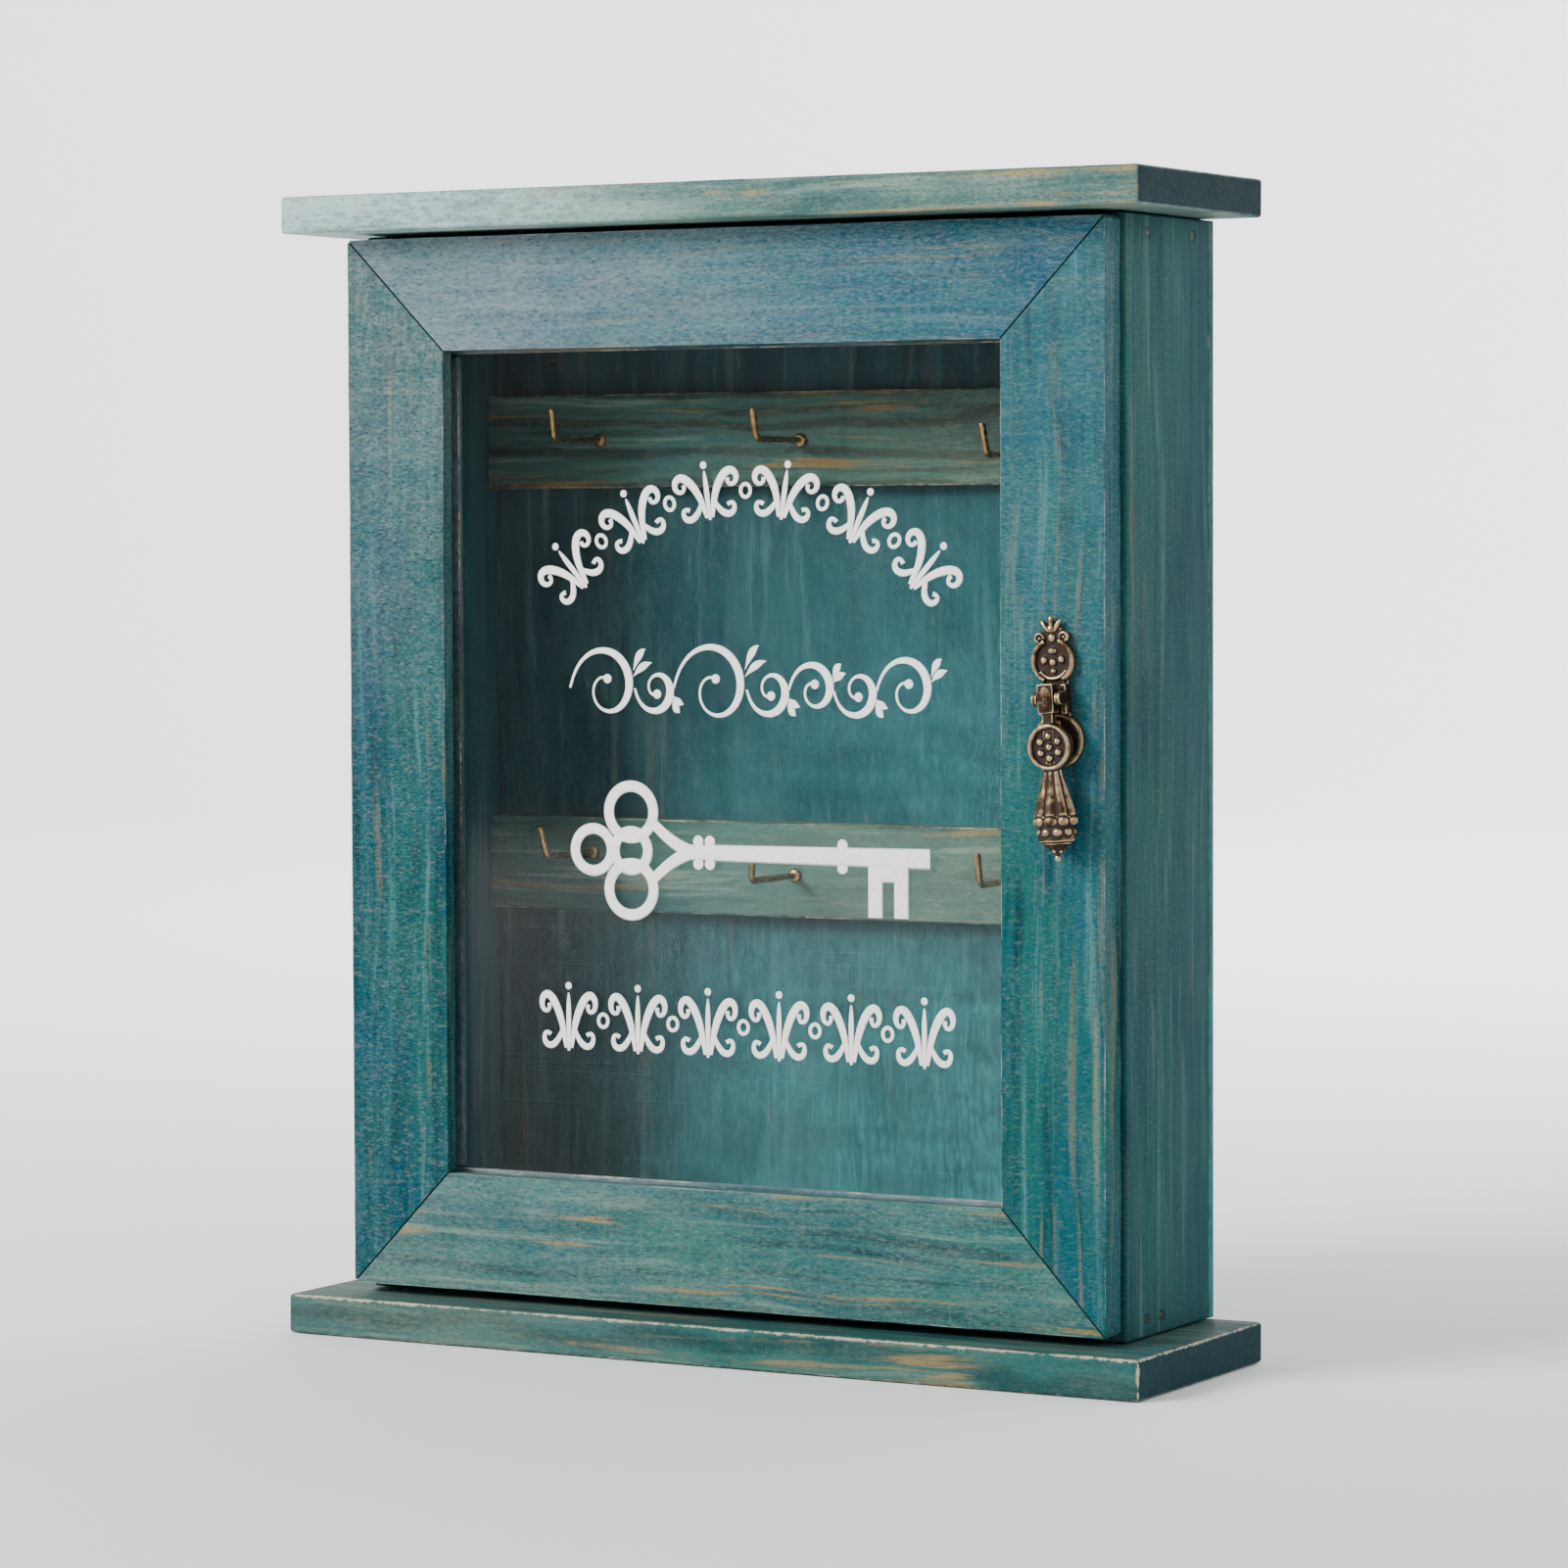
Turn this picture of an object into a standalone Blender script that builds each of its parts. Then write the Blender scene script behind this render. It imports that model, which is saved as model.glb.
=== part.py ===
"""Wooden key cabinet with a glazed, mitred door, six brass hooks and a pendant pull.

The cabinet stands in its own frame: +Z up, the door looks along -Y, and the origin
is the middle of the base board's underside. Every separate piece is one object.
Lengths are in metres.
"""
import math

import bmesh
import bpy
from mathutils import Matrix, Vector

MM = 0.001
CLEARANCE = 0.3 * MM            # air left between pieces that rest on each other

# Boards that cap the carcass above and below
HEIGHT = 300.0 * MM
BOARD_WIDTH = 249.2 * MM
BOARD_DEPTH = 73.0 * MM
BASE_THICKNESS = 10.4 * MM
TOP_THICKNESS = 9.8 * MM

# Carcass between the two boards
CARCASS_WIDTH = 222.6 * MM
CARCASS_DEPTH = 52.0 * MM
SIDE_THICKNESS = 10.0 * MM
INNER_THICKNESS = 9.0 * MM
BACK_THICKNESS = 3.0 * MM

# Door: a mitred frame around a pane
DOOR_GAP = 0.5 * MM
DOOR_THICKNESS = 8.8 * MM
DOOR_LEFT = -111.3 * MM
DOOR_RIGHT = 110.0 * MM
DOOR_BOTTOM = 13.0 * MM
DOOR_TOP = 288.7 * MM
SIGHT_LEFT = -81.7 * MM
SIGHT_RIGHT = 81.4 * MM
SIGHT_BOTTOM = 43.6 * MM
SIGHT_TOP = 259.1 * MM
LIP_DEPTH = 4.3 * MM            # wood in front of the pane
REBATE_WIDTH = 4.0 * MM
PANE_THICKNESS = 2.0 * MM
BEAD_PROUD = 0.8 * MM           # how far a bead shows past the sight edge
ARRIS = 0.5 * MM                # flat taken off each long edge

# Hook rails on the back panel
RAIL_HEIGHT = 25.2 * MM
RAIL_THICKNESS = 6.0 * MM
RAIL_HALF_LENGTH = 100.7 * MM
UPPER_RAIL_CENTRE = 236.0 * MM
LOWER_RAIL_CENTRE = 122.4 * MM

# Square-bend hooks, screwed in by hand, so each stands a little differently:
# name, across, height of the shank, lean of the upturned end to the right in degrees
HOOKS = (
    ("key_hook_1", -65.0 * MM, 236.2 * MM, -5.0),
    ("key_hook_2", -3.6 * MM, 235.6 * MM, -8.0),
    ("key_hook_3", 63.4 * MM, 231.0 * MM, -10.0),
    ("key_hook_4", -67.8 * MM, 125.6 * MM, -16.0),
    ("key_hook_5", -5.6 * MM, 121.0 * MM, 4.0),
    ("key_hook_6", 61.2 * MM, 121.8 * MM, -6.0),
)
HOOK_WIRE = 0.9 * MM            # radius
HOOK_REACH = 23.4 * MM          # rail face to the middle of the upturned end
HOOK_RISE = 8.2 * MM            # middle of the shank to the tip
HOOK_BEND = 1.8 * MM
HOOK_SUNK = 4.6 * MM            # length held in the rail
HOOK_COLLAR = 1.9 * MM
COLLAR_THICKNESS = 0.8 * MM

# Brads that hold the sides to the inner boards: from the back plane, height
SIDE_NAILS = (
    ("top_front", 39.4 * MM, 285.4 * MM),
    ("top_back", 12.9 * MM, 285.4 * MM),
    ("bottom_front", 40.2 * MM, 15.2 * MM),
    ("bottom_back", 31.5 * MM, 15.2 * MM),
)
NAIL_HEAD = 1.3 * MM
NAIL_SHANK = 0.7 * MM
NAIL_LENGTH = 20.0 * MM
NAIL_HEAD_DEPTH = 0.8 * MM
NAIL_SET = 0.25 * MM            # head driven below the face

# Butt hinges with their knuckles outside the left edge
HINGE_CENTRES = (("upper", 227.4 * MM), ("lower", 70.6 * MM))
HINGE_HEIGHT = 24.0 * MM
LEAF_WIDTH = 7.0 * MM
LEAF_THICKNESS = 1.0 * MM
KNUCKLE_RADIUS = 1.8 * MM
KNUCKLE_SIDE_GAP = 0.3 * MM
PIN_RADIUS = 0.8 * MM
PIN_HEAD_RADIUS = 1.3 * MM
KNUCKLES = 5
SCREW_SPACING = 14.0 * MM
SCREW_HEAD = 1.6 * MM
SCREW_SHANK = 0.8 * MM
SCREW_LENGTH = 6.0 * MM

# Magnetic catch in the free edge
MAGNET_RADIUS = 2.5 * MM
MAGNET_LENGTH = 4.0 * MM
CATCH_HEIGHT = 150.0 * MM
STRIKE_THICKNESS = 0.8 * MM
STRIKE_SIZE = (8.0 * MM, 14.0 * MM)

# Keyhole hanger plates on the back
HANGER_OFFSET = 84.0 * MM
HANGER_HEIGHT = 268.0 * MM
HANGER_SIZE = (14.0 * MM, 30.0 * MM)
HANGER_THICKNESS = 1.0 * MM
HANGER_NAIL_SPACING = 22.0 * MM

# Pendant pull, fixed slightly out of plumb
PULL_ACROSS = 97.4 * MM
PULL_HEIGHT = 170.6 * MM
PULL_LEAN = 4.0                 # degrees, crown to the left
PLATE_THICKNESS = 1.3 * MM
PIVOT_STAND_OFF = 5.6 * MM      # door face to the pivot's axis
ROSETTE_CENTRE = 9.2 * MM       # above the pivot
ROSETTE_RADIUS = 6.0 * MM
CROWN_TOP = 20.8 * MM
LOBE_CENTRE = -10.4 * MM        # of the lower end, behind the drop's disc
LOBE_RADIUS = 6.9 * MM
DROP_LENGTH = 40.2 * MM
DISC_DROP = 11.8 * MM
DISC_RADIUS = 5.9 * MM
BELL_FLATTEN = 0.6              # depth of the cast drop against its width
PIVOT_PIN = 0.8 * MM
EYE_HALF = 2.2 * MM             # half the width of the drop's eye between the lugs
LUG_INNER = EYE_HALF + CLEARANCE
LUG_OUTER = LUG_INNER + 1.3 * MM
LUG_HEIGHT = 3.6 * MM
EYE_HEIGHT = 7.4 * MM
EYE_FRONT = 2.4 * MM            # reach of the eye in front of the pivot
EYE_BACK = 1.5 * MM             # and behind it

# Places that follow from the sizes above
BACK_Y = BOARD_DEPTH / 2
FRONT_BOARD_Y = -BOARD_DEPTH / 2
CARCASS_FRONT_Y = BACK_Y - CARCASS_DEPTH
DOOR_BACK_Y = CARCASS_FRONT_Y - DOOR_GAP
DOOR_FRONT_Y = DOOR_BACK_Y - DOOR_THICKNESS
JOINT_Y = CARCASS_FRONT_Y - DOOR_GAP / 2
PANEL_FRONT_Y = BACK_Y - BACK_THICKNESS
RAIL_FRONT_Y = PANEL_FRONT_Y - CLEARANCE - RAIL_THICKNESS
CARCASS_HALF = CARCASS_WIDTH / 2
CARCASS_BOTTOM = BASE_THICKNESS + CLEARANCE
CARCASS_TOP = HEIGHT - TOP_THICKNESS - CLEARANCE
INNER_HALF = CARCASS_HALF - SIDE_THICKNESS - CLEARANCE
HINGE_X = -CARCASS_HALF - KNUCKLE_RADIUS - KNUCKLE_SIDE_GAP

# Finishes: base colour, roughness, metallic
FINISHES = {
    "stained_wood": ((0.075, 0.235, 0.270), 0.62, 0.0),
    "pale_glass": ((0.86, 0.94, 0.93), 0.05, 0.0),
    "bright_brass": ((0.62, 0.47, 0.22), 0.32, 1.0),
    "old_brass": ((0.30, 0.22, 0.12), 0.42, 1.0),
    "bright_steel": ((0.55, 0.55, 0.56), 0.30, 1.0),
}


def clear_scene():
    """Remove whatever the file holds."""
    for obj in list(bpy.data.objects):
        bpy.data.objects.remove(obj, do_unlink=True)


def new_collection(name):
    """A fresh collection linked to the scene."""
    group = bpy.data.collections.new(name)
    bpy.context.scene.collection.children.link(group)
    return group


def new_material(name):
    """A Principled material of one of the finishes."""
    colour, roughness, metallic = FINISHES[name]
    material = bpy.data.materials.new(name)
    material.use_nodes = True
    shader = material.node_tree.nodes["Principled BSDF"]
    shader.inputs["Base Color"].default_value = (*colour, 1.0)
    shader.inputs["Roughness"].default_value = roughness
    shader.inputs["Metallic"].default_value = metallic
    return material


class Workshop:
    """Where pieces and cutters go, and the finishes they take."""

    def __init__(self):
        self.parts = new_collection("key_cabinet")
        self.tools = new_collection("cutters")
        self.materials = {name: new_material(name) for name in FINISHES}

    def add(self, name, mesh, finish, place=(0, 0, 0)):
        """A named piece of the object."""
        obj = bpy.data.objects.new(name, mesh)
        obj.location = place
        mesh.materials.clear()
        mesh.materials.append(self.materials[finish])
        self.parts.objects.link(obj)
        return obj

    def tool(self, name, mesh, place=(0, 0, 0)):
        """A cutter or a blank that the build leaves out."""
        obj = bpy.data.objects.new(name, mesh)
        obj.location = place
        obj.hide_render = True
        obj.display_type = "WIRE"
        self.tools.objects.link(obj)
        return obj


def finish_mesh(bm, name, smooth=None):
    """Write a bmesh out with its faces outward, smooth below an angle if one is given."""
    bmesh.ops.recalc_face_normals(bm, faces=bm.faces)
    mesh = bpy.data.meshes.new(name)
    bm.to_mesh(mesh)
    bm.free()
    if smooth is not None:
        mesh.shade_smooth()
        mesh.set_sharp_from_angle(angle=math.radians(smooth))
    return mesh


def box_mesh(name, size):
    """A box centred on its own origin."""
    bm = bmesh.new()
    bmesh.ops.create_cube(bm, size=1.0, matrix=Matrix.Diagonal((*size, 1.0)))
    return finish_mesh(bm, name)


def rod_mesh(name, radius, length, axis="Z", segments=12):
    """A closed cylinder centred on its own origin, along a world axis."""
    turn = {"X": Matrix.Rotation(math.pi / 2, 4, "Y"),
            "Y": Matrix.Rotation(math.pi / 2, 4, "X"),
            "Z": Matrix.Identity(4)}[axis]
    bm = bmesh.new()
    bmesh.ops.create_cone(bm, cap_ends=True, cap_tris=False, segments=segments, radius1=radius,
                          radius2=radius, depth=length, matrix=turn)
    return finish_mesh(bm, name, smooth=40)


def span(shop, name, low, high, finish, arris=ARRIS):
    """A board between two corners, with its arrises taken off."""
    low, high = Vector(low), Vector(high)
    obj = shop.add(name, box_mesh(name, high - low), finish, (low + high) / 2)
    if arris:
        soften(obj, arris)
    return obj


def soften(obj, width, segments=1, angle=30):
    """Bevel the sharp edges."""
    bevel = obj.modifiers.new("arris", "BEVEL")
    bevel.width = width
    bevel.segments = segments
    bevel.limit_method = "ANGLE"
    bevel.angle_limit = math.radians(angle)


def boolean(obj, other, operation="DIFFERENCE"):
    """Cut or join with another solid."""
    modifier = obj.modifiers.new(other.name, "BOOLEAN")
    modifier.operation = operation
    modifier.object = other
    modifier.solver = "EXACT"


def bore(shop, pieces, name, radius, length, centre, axis, segments=8):
    """Drill the same hole through one or more pieces."""
    tool = shop.tool(name, rod_mesh(name, radius, length, axis, segments), centre)
    for piece in pieces:
        boolean(piece, tool)


def pocket(shop, piece, name, low, high):
    """Cut a square-sided recess."""
    low, high = Vector(low), Vector(high)
    boolean(piece, shop.tool(name, box_mesh(name, high - low), (low + high) / 2))


def empty(shop, name, place, parent=None, lean=0.0):
    """A pivot that pieces are parented to."""
    pivot = bpy.data.objects.new(name, None)
    pivot.location = place
    pivot.rotation_euler = (0.0, lean, 0.0)
    pivot.parent = parent
    shop.parts.objects.link(pivot)
    return pivot


def hang(pieces, pivot):
    """Parent upright pieces to a pivot without moving them."""
    for piece in pieces:
        piece.parent = pivot
        piece.location -= pivot.location


# ---------------------------------------------------------------- carcass

def make_boards(shop):
    """Base and cornice boards, which overhang the carcass at both ends and in front."""
    half = BOARD_WIDTH / 2
    base = span(shop, "base_board", (-half, FRONT_BOARD_Y, 0), (half, BACK_Y, BASE_THICKNESS),
                "stained_wood")
    cornice = span(shop, "cornice_board", (-half, FRONT_BOARD_Y, HEIGHT - TOP_THICKNESS),
                   (half, BACK_Y, HEIGHT), "stained_wood")
    return base, cornice


def make_sides(shop):
    """Left and right side panels."""
    sides = {}
    for side, sign in (("left", -1), ("right", 1)):
        across = sorted((sign * CARCASS_HALF, sign * (CARCASS_HALF - SIDE_THICKNESS)))
        sides[side] = span(shop, f"side_panel_{side}", (across[0], CARCASS_FRONT_Y, CARCASS_BOTTOM),
                           (across[1], PANEL_FRONT_Y - CLEARANCE, CARCASS_TOP), "stained_wood")
    return sides


def make_inner_boards(shop):
    """Inner top and bottom boards that tie the sides together."""
    back = PANEL_FRONT_Y - CLEARANCE
    top = span(shop, "inner_top_board", (-INNER_HALF, CARCASS_FRONT_Y, CARCASS_TOP - INNER_THICKNESS),
               (INNER_HALF, back, CARCASS_TOP), "stained_wood")
    bottom = span(shop, "inner_bottom_board", (-INNER_HALF, CARCASS_FRONT_Y, CARCASS_BOTTOM),
                  (INNER_HALF, back, CARCASS_BOTTOM + INNER_THICKNESS), "stained_wood")
    return top, bottom


def make_side_nails(shop, sides, top, bottom):
    """Brads driven through each side into the ends of the inner boards."""
    for side, sign in (("left", -1), ("right", 1)):
        for label, from_back, height in SIDE_NAILS:
            face = Vector((sign * (CARCASS_HALF - NAIL_SET), BACK_Y - from_back, height))
            inward = Vector((-sign, 0, 0))
            name = f"side_nail_{side}_{label}"
            bm = bmesh.new()
            turned_nail(bm, sign)
            shop.add(name, finish_mesh(bm, name, smooth=40), "bright_steel", face)
            board = top if label.startswith("top") else bottom
            middle = face + inward * (NAIL_LENGTH / 2)
            reach = NAIL_LENGTH + 2 * CLEARANCE
            bore(shop, (sides[side], board), f"{name}_bore", NAIL_SHANK + CLEARANCE, reach, middle, "X")
            seat = NAIL_SET + NAIL_HEAD_DEPTH + CLEARANCE
            centre = Vector((sign * CARCASS_HALF, face.y, face.z)) + inward * (seat / 2 - MM)
            bore(shop, (sides[side],), f"{name}_seat", NAIL_HEAD + CLEARANCE, seat + 2 * MM, centre, "X")


def turned_nail(bm, sign):
    """A brad along X with its head's face on the origin, spun from its half outline."""
    outline = ((0.0, 0.0), (0.0, NAIL_HEAD), (NAIL_HEAD_DEPTH, NAIL_HEAD),
               (NAIL_HEAD_DEPTH, NAIL_SHANK), (NAIL_LENGTH - 1.5 * MM, NAIL_SHANK),
               (NAIL_LENGTH, 0.0))
    spin_outline(bm, [(-sign * along, radius) for along, radius in outline], "X", 8)


def spin_outline(bm, outline, axis, steps):
    """Spin a half outline of (along, radius) pairs about an axis into a closed solid."""
    lay = {"X": lambda a, r: Vector((a, 0, r)), "Y": lambda a, r: Vector((r, a, 0)),
           "Z": lambda a, r: Vector((r, 0, a))}[axis]
    direction = {"X": (1, 0, 0), "Y": (0, 1, 0), "Z": (0, 0, 1)}[axis]
    points = [bm.verts.new(lay(along, radius)) for along, radius in outline]
    edges = [bm.edges.new(pair) for pair in zip(points, points[1:])]
    bmesh.ops.spin(bm, geom=points + edges, cent=(0, 0, 0), axis=direction, dvec=(0, 0, 0),
                   angle=2 * math.pi, steps=steps, use_merge=True, use_duplicate=False)
    bmesh.ops.remove_doubles(bm, verts=bm.verts, dist=0.01 * MM)


def make_back(shop):
    """Thin back panel nailed over the rear of the carcass."""
    edge = CARCASS_HALF - CLEARANCE
    return span(shop, "back_panel", (-edge, PANEL_FRONT_Y, CARCASS_BOTTOM), (edge, BACK_Y, CARCASS_TOP),
                "stained_wood", arris=0.2 * MM)


def make_hangers(shop, back):
    """Keyhole plates let into the back panel, each held by two nails."""
    width, height = HANGER_SIZE
    inner_face = BACK_Y - HANGER_THICKNESS
    for side, sign in (("left", -1), ("right", 1)):
        name = f"hanger_plate_{side}"
        middle = Vector((sign * HANGER_OFFSET, BACK_Y - HANGER_THICKNESS / 2, HANGER_HEIGHT))
        plate = shop.add(name, box_mesh(name, (width, HANGER_THICKNESS, height)), "bright_steel", middle)
        low = (middle.x - width / 2 - CLEARANCE, inner_face - CLEARANCE, middle.z - height / 2 - CLEARANCE)
        high = (middle.x + width / 2 + CLEARANCE, BACK_Y + MM, middle.z + height / 2 + CLEARANCE)
        pocket(shop, back, f"{name}_pocket", low, high)
        head_hole, slot = 4.0 * MM, 2.0 * MM
        mouth = middle - Vector((0, 0, 3.0 * MM))
        bore(shop, (plate, back), f"{name}_mouth", head_hole, 8 * MM, mouth, "Y", 16)
        slot_top = 6.0 * MM
        pocket(shop, plate, f"{name}_slot", (middle.x - slot, middle.y - 2 * MM, mouth.z),
               (middle.x + slot, middle.y + 2 * MM, mouth.z + slot_top))
        relief = 3.2 * MM
        pocket(shop, back, f"{name}_relief", (middle.x - relief, PANEL_FRONT_Y - MM, mouth.z),
               (middle.x + relief, BACK_Y + MM, mouth.z + slot_top + CLEARANCE))
        for label, offset in (("top", 0.5), ("bottom", -0.5)):
            place = middle + Vector((0, 0, offset * HANGER_NAIL_SPACING))
            make_hanger_nail(shop, f"hanger_nail_{side}_{label}", place, plate, back)


def make_hanger_nail(shop, name, place, plate, back):
    """A short flat-headed nail through a hanger plate, flush with the back."""
    head, shank, length = 1.4 * MM, 0.6 * MM, 2.6 * MM
    sunk = 0.5 * MM
    bm = bmesh.new()
    spin_outline(bm, ((0, 0), (0, head), (-sunk, head), (-sunk, shank), (-length, shank),
                      (-length, 0)), "Y", 8)
    shop.add(name, finish_mesh(bm, name, smooth=40), "bright_steel", (place.x, BACK_Y, place.z))
    bore(shop, (plate, back), f"{name}_bore", shank + CLEARANCE, 12 * MM, place, "Y")
    seat = sunk + CLEARANCE
    centre = Vector((place.x, BACK_Y - seat / 2 + MM, place.z))
    bore(shop, (plate,), f"{name}_seat", head + CLEARANCE, seat + 2 * MM, centre, "Y")


def make_rails(shop):
    """The two rails that carry the hooks."""
    rails = {}
    for name, middle in (("upper", UPPER_RAIL_CENTRE), ("lower", LOWER_RAIL_CENTRE)):
        rails[name] = span(shop, f"hook_rail_{name}",
                           (-RAIL_HALF_LENGTH, RAIL_FRONT_Y, middle - RAIL_HEIGHT / 2),
                           (RAIL_HALF_LENGTH, PANEL_FRONT_Y - CLEARANCE, middle + RAIL_HEIGHT / 2),
                           "stained_wood", arris=0.4 * MM)
    return rails


def hook_path():
    """Middle line of a hook from its screwed end, round the bend, up to the tip."""
    turns = 4
    points = [(0.0, HOOK_SUNK, 0.0), (0.0, -(HOOK_REACH - HOOK_BEND), 0.0)]
    for step in range(1, turns):
        angle = math.pi / 2 * step / turns
        points.append((0.0, -(HOOK_REACH - HOOK_BEND) - HOOK_BEND * math.sin(angle),
                       HOOK_BEND * (1 - math.cos(angle))))
    points += [(0.0, -HOOK_REACH, HOOK_BEND), (0.0, -HOOK_REACH, HOOK_RISE)]
    return points


def wire_mesh(shop, name, points, radius):
    """A round wire along a path, as a closed mesh."""
    curve = bpy.data.curves.new(name, "CURVE")
    curve.dimensions = "3D"
    curve.bevel_depth = radius
    curve.bevel_resolution = 2
    curve.use_fill_caps = True
    spline = curve.splines.new("POLY")
    spline.points.add(len(points) - 1)
    for point, place in zip(spline.points, points):
        point.co = (*place, 1.0)
    blank = shop.tool(f"{name}_path", curve)
    bpy.context.view_layer.update()
    mesh = bpy.data.meshes.new_from_object(blank.evaluated_get(bpy.context.evaluated_depsgraph_get()))
    bpy.data.objects.remove(blank, do_unlink=True)
    bm = bmesh.new()
    bm.from_mesh(mesh)
    bmesh.ops.remove_doubles(bm, verts=bm.verts, dist=0.01 * MM)
    bpy.data.meshes.remove(mesh)
    return finish_mesh(bm, name, smooth=40)


def make_hooks(shop, rails):
    """Six brass hooks, each with a collar against its rail."""
    wire = wire_mesh(shop, "hook_wire", hook_path(), HOOK_WIRE)
    collar_y = -CLEARANCE - COLLAR_THICKNESS / 2
    for name, across, height, lean in HOOKS:
        rail = rails["upper"] if height > (UPPER_RAIL_CENTRE + LOWER_RAIL_CENTRE) / 2 else rails["lower"]
        hook = shop.add(name, wire.copy(), "bright_brass", (across, RAIL_FRONT_Y, height))
        hook.rotation_euler = (0.0, math.radians(lean), 0.0)
        collar = shop.tool(f"{name}_collar", rod_mesh(f"{name}_collar", HOOK_COLLAR, COLLAR_THICKNESS, "Y"),
                           (across, RAIL_FRONT_Y + collar_y, height))
        boolean(hook, collar, "UNION")
        depth = HOOK_SUNK + CLEARANCE
        centre = (across, RAIL_FRONT_Y + depth / 2 - MM / 2, height)
        bore(shop, (rail,), f"{name}_bore", HOOK_WIRE + CLEARANCE, depth + MM, centre, "Y")


# ---------------------------------------------------------------- door

def mitred_member(shop, name, low, high, mitres):
    """A frame member: a box whose ends are cut by upright planes."""
    low, high = Vector(low), Vector(high)
    middle = (low + high) / 2
    bm = bmesh.new()
    bmesh.ops.create_cube(bm, size=1.0, matrix=Matrix.Diagonal((*(high - low), 1.0)))
    for through, outward in mitres:
        geometry = bm.verts[:] + bm.edges[:] + bm.faces[:]
        cut = bmesh.ops.bisect_plane(bm, geom=geometry, plane_co=Vector(through) - middle,
                                     plane_no=outward, clear_outer=True)
        rim = [edge for edge in cut["geom_cut"] if isinstance(edge, bmesh.types.BMEdge)]
        bmesh.ops.contextual_create(bm, geom=rim)
    obj = shop.add(name, finish_mesh(bm, name), "stained_wood", middle)
    soften(obj, ARRIS)
    return obj


def corner_plane(outer, inner, away):
    """A mitre through the outer and inner corners, set back by half a clearance."""
    along = Vector((inner[0] - outer[0], 0, inner[1] - outer[1])).normalized()
    normal = Vector((along.z, 0, -along.x))
    if normal.dot(Vector(away)) < 0:
        normal.negate()
    through = Vector((outer[0], 0, outer[1])) - normal * (CLEARANCE / 2)
    return through, normal


def make_door_frame(shop):
    """Two rails and two stiles, mitred at the corners and rebated behind for the pane."""
    corners = {
        "top_left": ((DOOR_LEFT, DOOR_TOP), (SIGHT_LEFT, SIGHT_TOP)),
        "top_right": ((DOOR_RIGHT, DOOR_TOP), (SIGHT_RIGHT, SIGHT_TOP)),
        "bottom_left": ((DOOR_LEFT, DOOR_BOTTOM), (SIGHT_LEFT, SIGHT_BOTTOM)),
        "bottom_right": ((DOOR_RIGHT, DOOR_BOTTOM), (SIGHT_RIGHT, SIGHT_BOTTOM)),
    }
    near, far = DOOR_FRONT_Y, DOOR_BACK_Y
    up, down, left, right = (0, 0, 1), (0, 0, -1), (-1, 0, 0), (1, 0, 0)
    members = {
        "door_rail_top": ((DOOR_LEFT, near, SIGHT_TOP), (DOOR_RIGHT, far, DOOR_TOP),
                          (("top_left", down), ("top_right", down))),
        "door_rail_bottom": ((DOOR_LEFT, near, DOOR_BOTTOM), (DOOR_RIGHT, far, SIGHT_BOTTOM),
                             (("bottom_left", up), ("bottom_right", up))),
        "door_stile_left": ((DOOR_LEFT, near, DOOR_BOTTOM), (SIGHT_LEFT, far, DOOR_TOP),
                            (("top_left", right), ("bottom_left", right))),
        "door_stile_right": ((SIGHT_RIGHT, near, DOOR_BOTTOM), (DOOR_RIGHT, far, DOOR_TOP),
                             (("top_right", left), ("bottom_right", left))),
    }
    rebate_front = DOOR_FRONT_Y + LIP_DEPTH
    low = Vector((SIGHT_LEFT - REBATE_WIDTH, rebate_front, SIGHT_BOTTOM - REBATE_WIDTH))
    high = Vector((SIGHT_RIGHT + REBATE_WIDTH, DOOR_BACK_Y + MM, SIGHT_TOP + REBATE_WIDTH))
    rebate = shop.tool("rebate", box_mesh("rebate", high - low), (low + high) / 2)
    frame = {}
    for name, (first, last, ends) in members.items():
        planes = [corner_plane(*corners[corner], away) for corner, away in ends]
        frame[name] = mitred_member(shop, name, first, last, planes)
        boolean(frame[name], rebate)
    return frame


def make_glazing(shop):
    """The pane in its rebate and the four beads behind it."""
    edge = REBATE_WIDTH - CLEARANCE
    front = DOOR_FRONT_Y + LIP_DEPTH + CLEARANCE
    behind = front + PANE_THICKNESS
    left, right = SIGHT_LEFT - edge, SIGHT_RIGHT + edge
    bottom, top = SIGHT_BOTTOM - edge, SIGHT_TOP + edge
    pane = span(shop, "glass_pane", (left, front, bottom), (right, behind, top), "pale_glass", arris=0)
    near, far = behind + CLEARANCE, DOOR_BACK_Y
    width = edge + BEAD_PROUD
    inner_low, inner_high = bottom + width + CLEARANCE, top - width - CLEARANCE
    beads = [
        span(shop, "glass_bead_top", (left, near, top - width), (right, far, top), "stained_wood", 0.3 * MM),
        span(shop, "glass_bead_bottom", (left, near, bottom), (right, far, bottom + width),
             "stained_wood", 0.3 * MM),
        span(shop, "glass_bead_left", (left, near, inner_low), (left + width, far, inner_high),
             "stained_wood", 0.3 * MM),
        span(shop, "glass_bead_right", (right - width, near, inner_low), (right, far, inner_high),
             "stained_wood", 0.3 * MM),
    ]
    return [pane, *beads]


# ---------------------------------------------------------------- hinges

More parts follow.
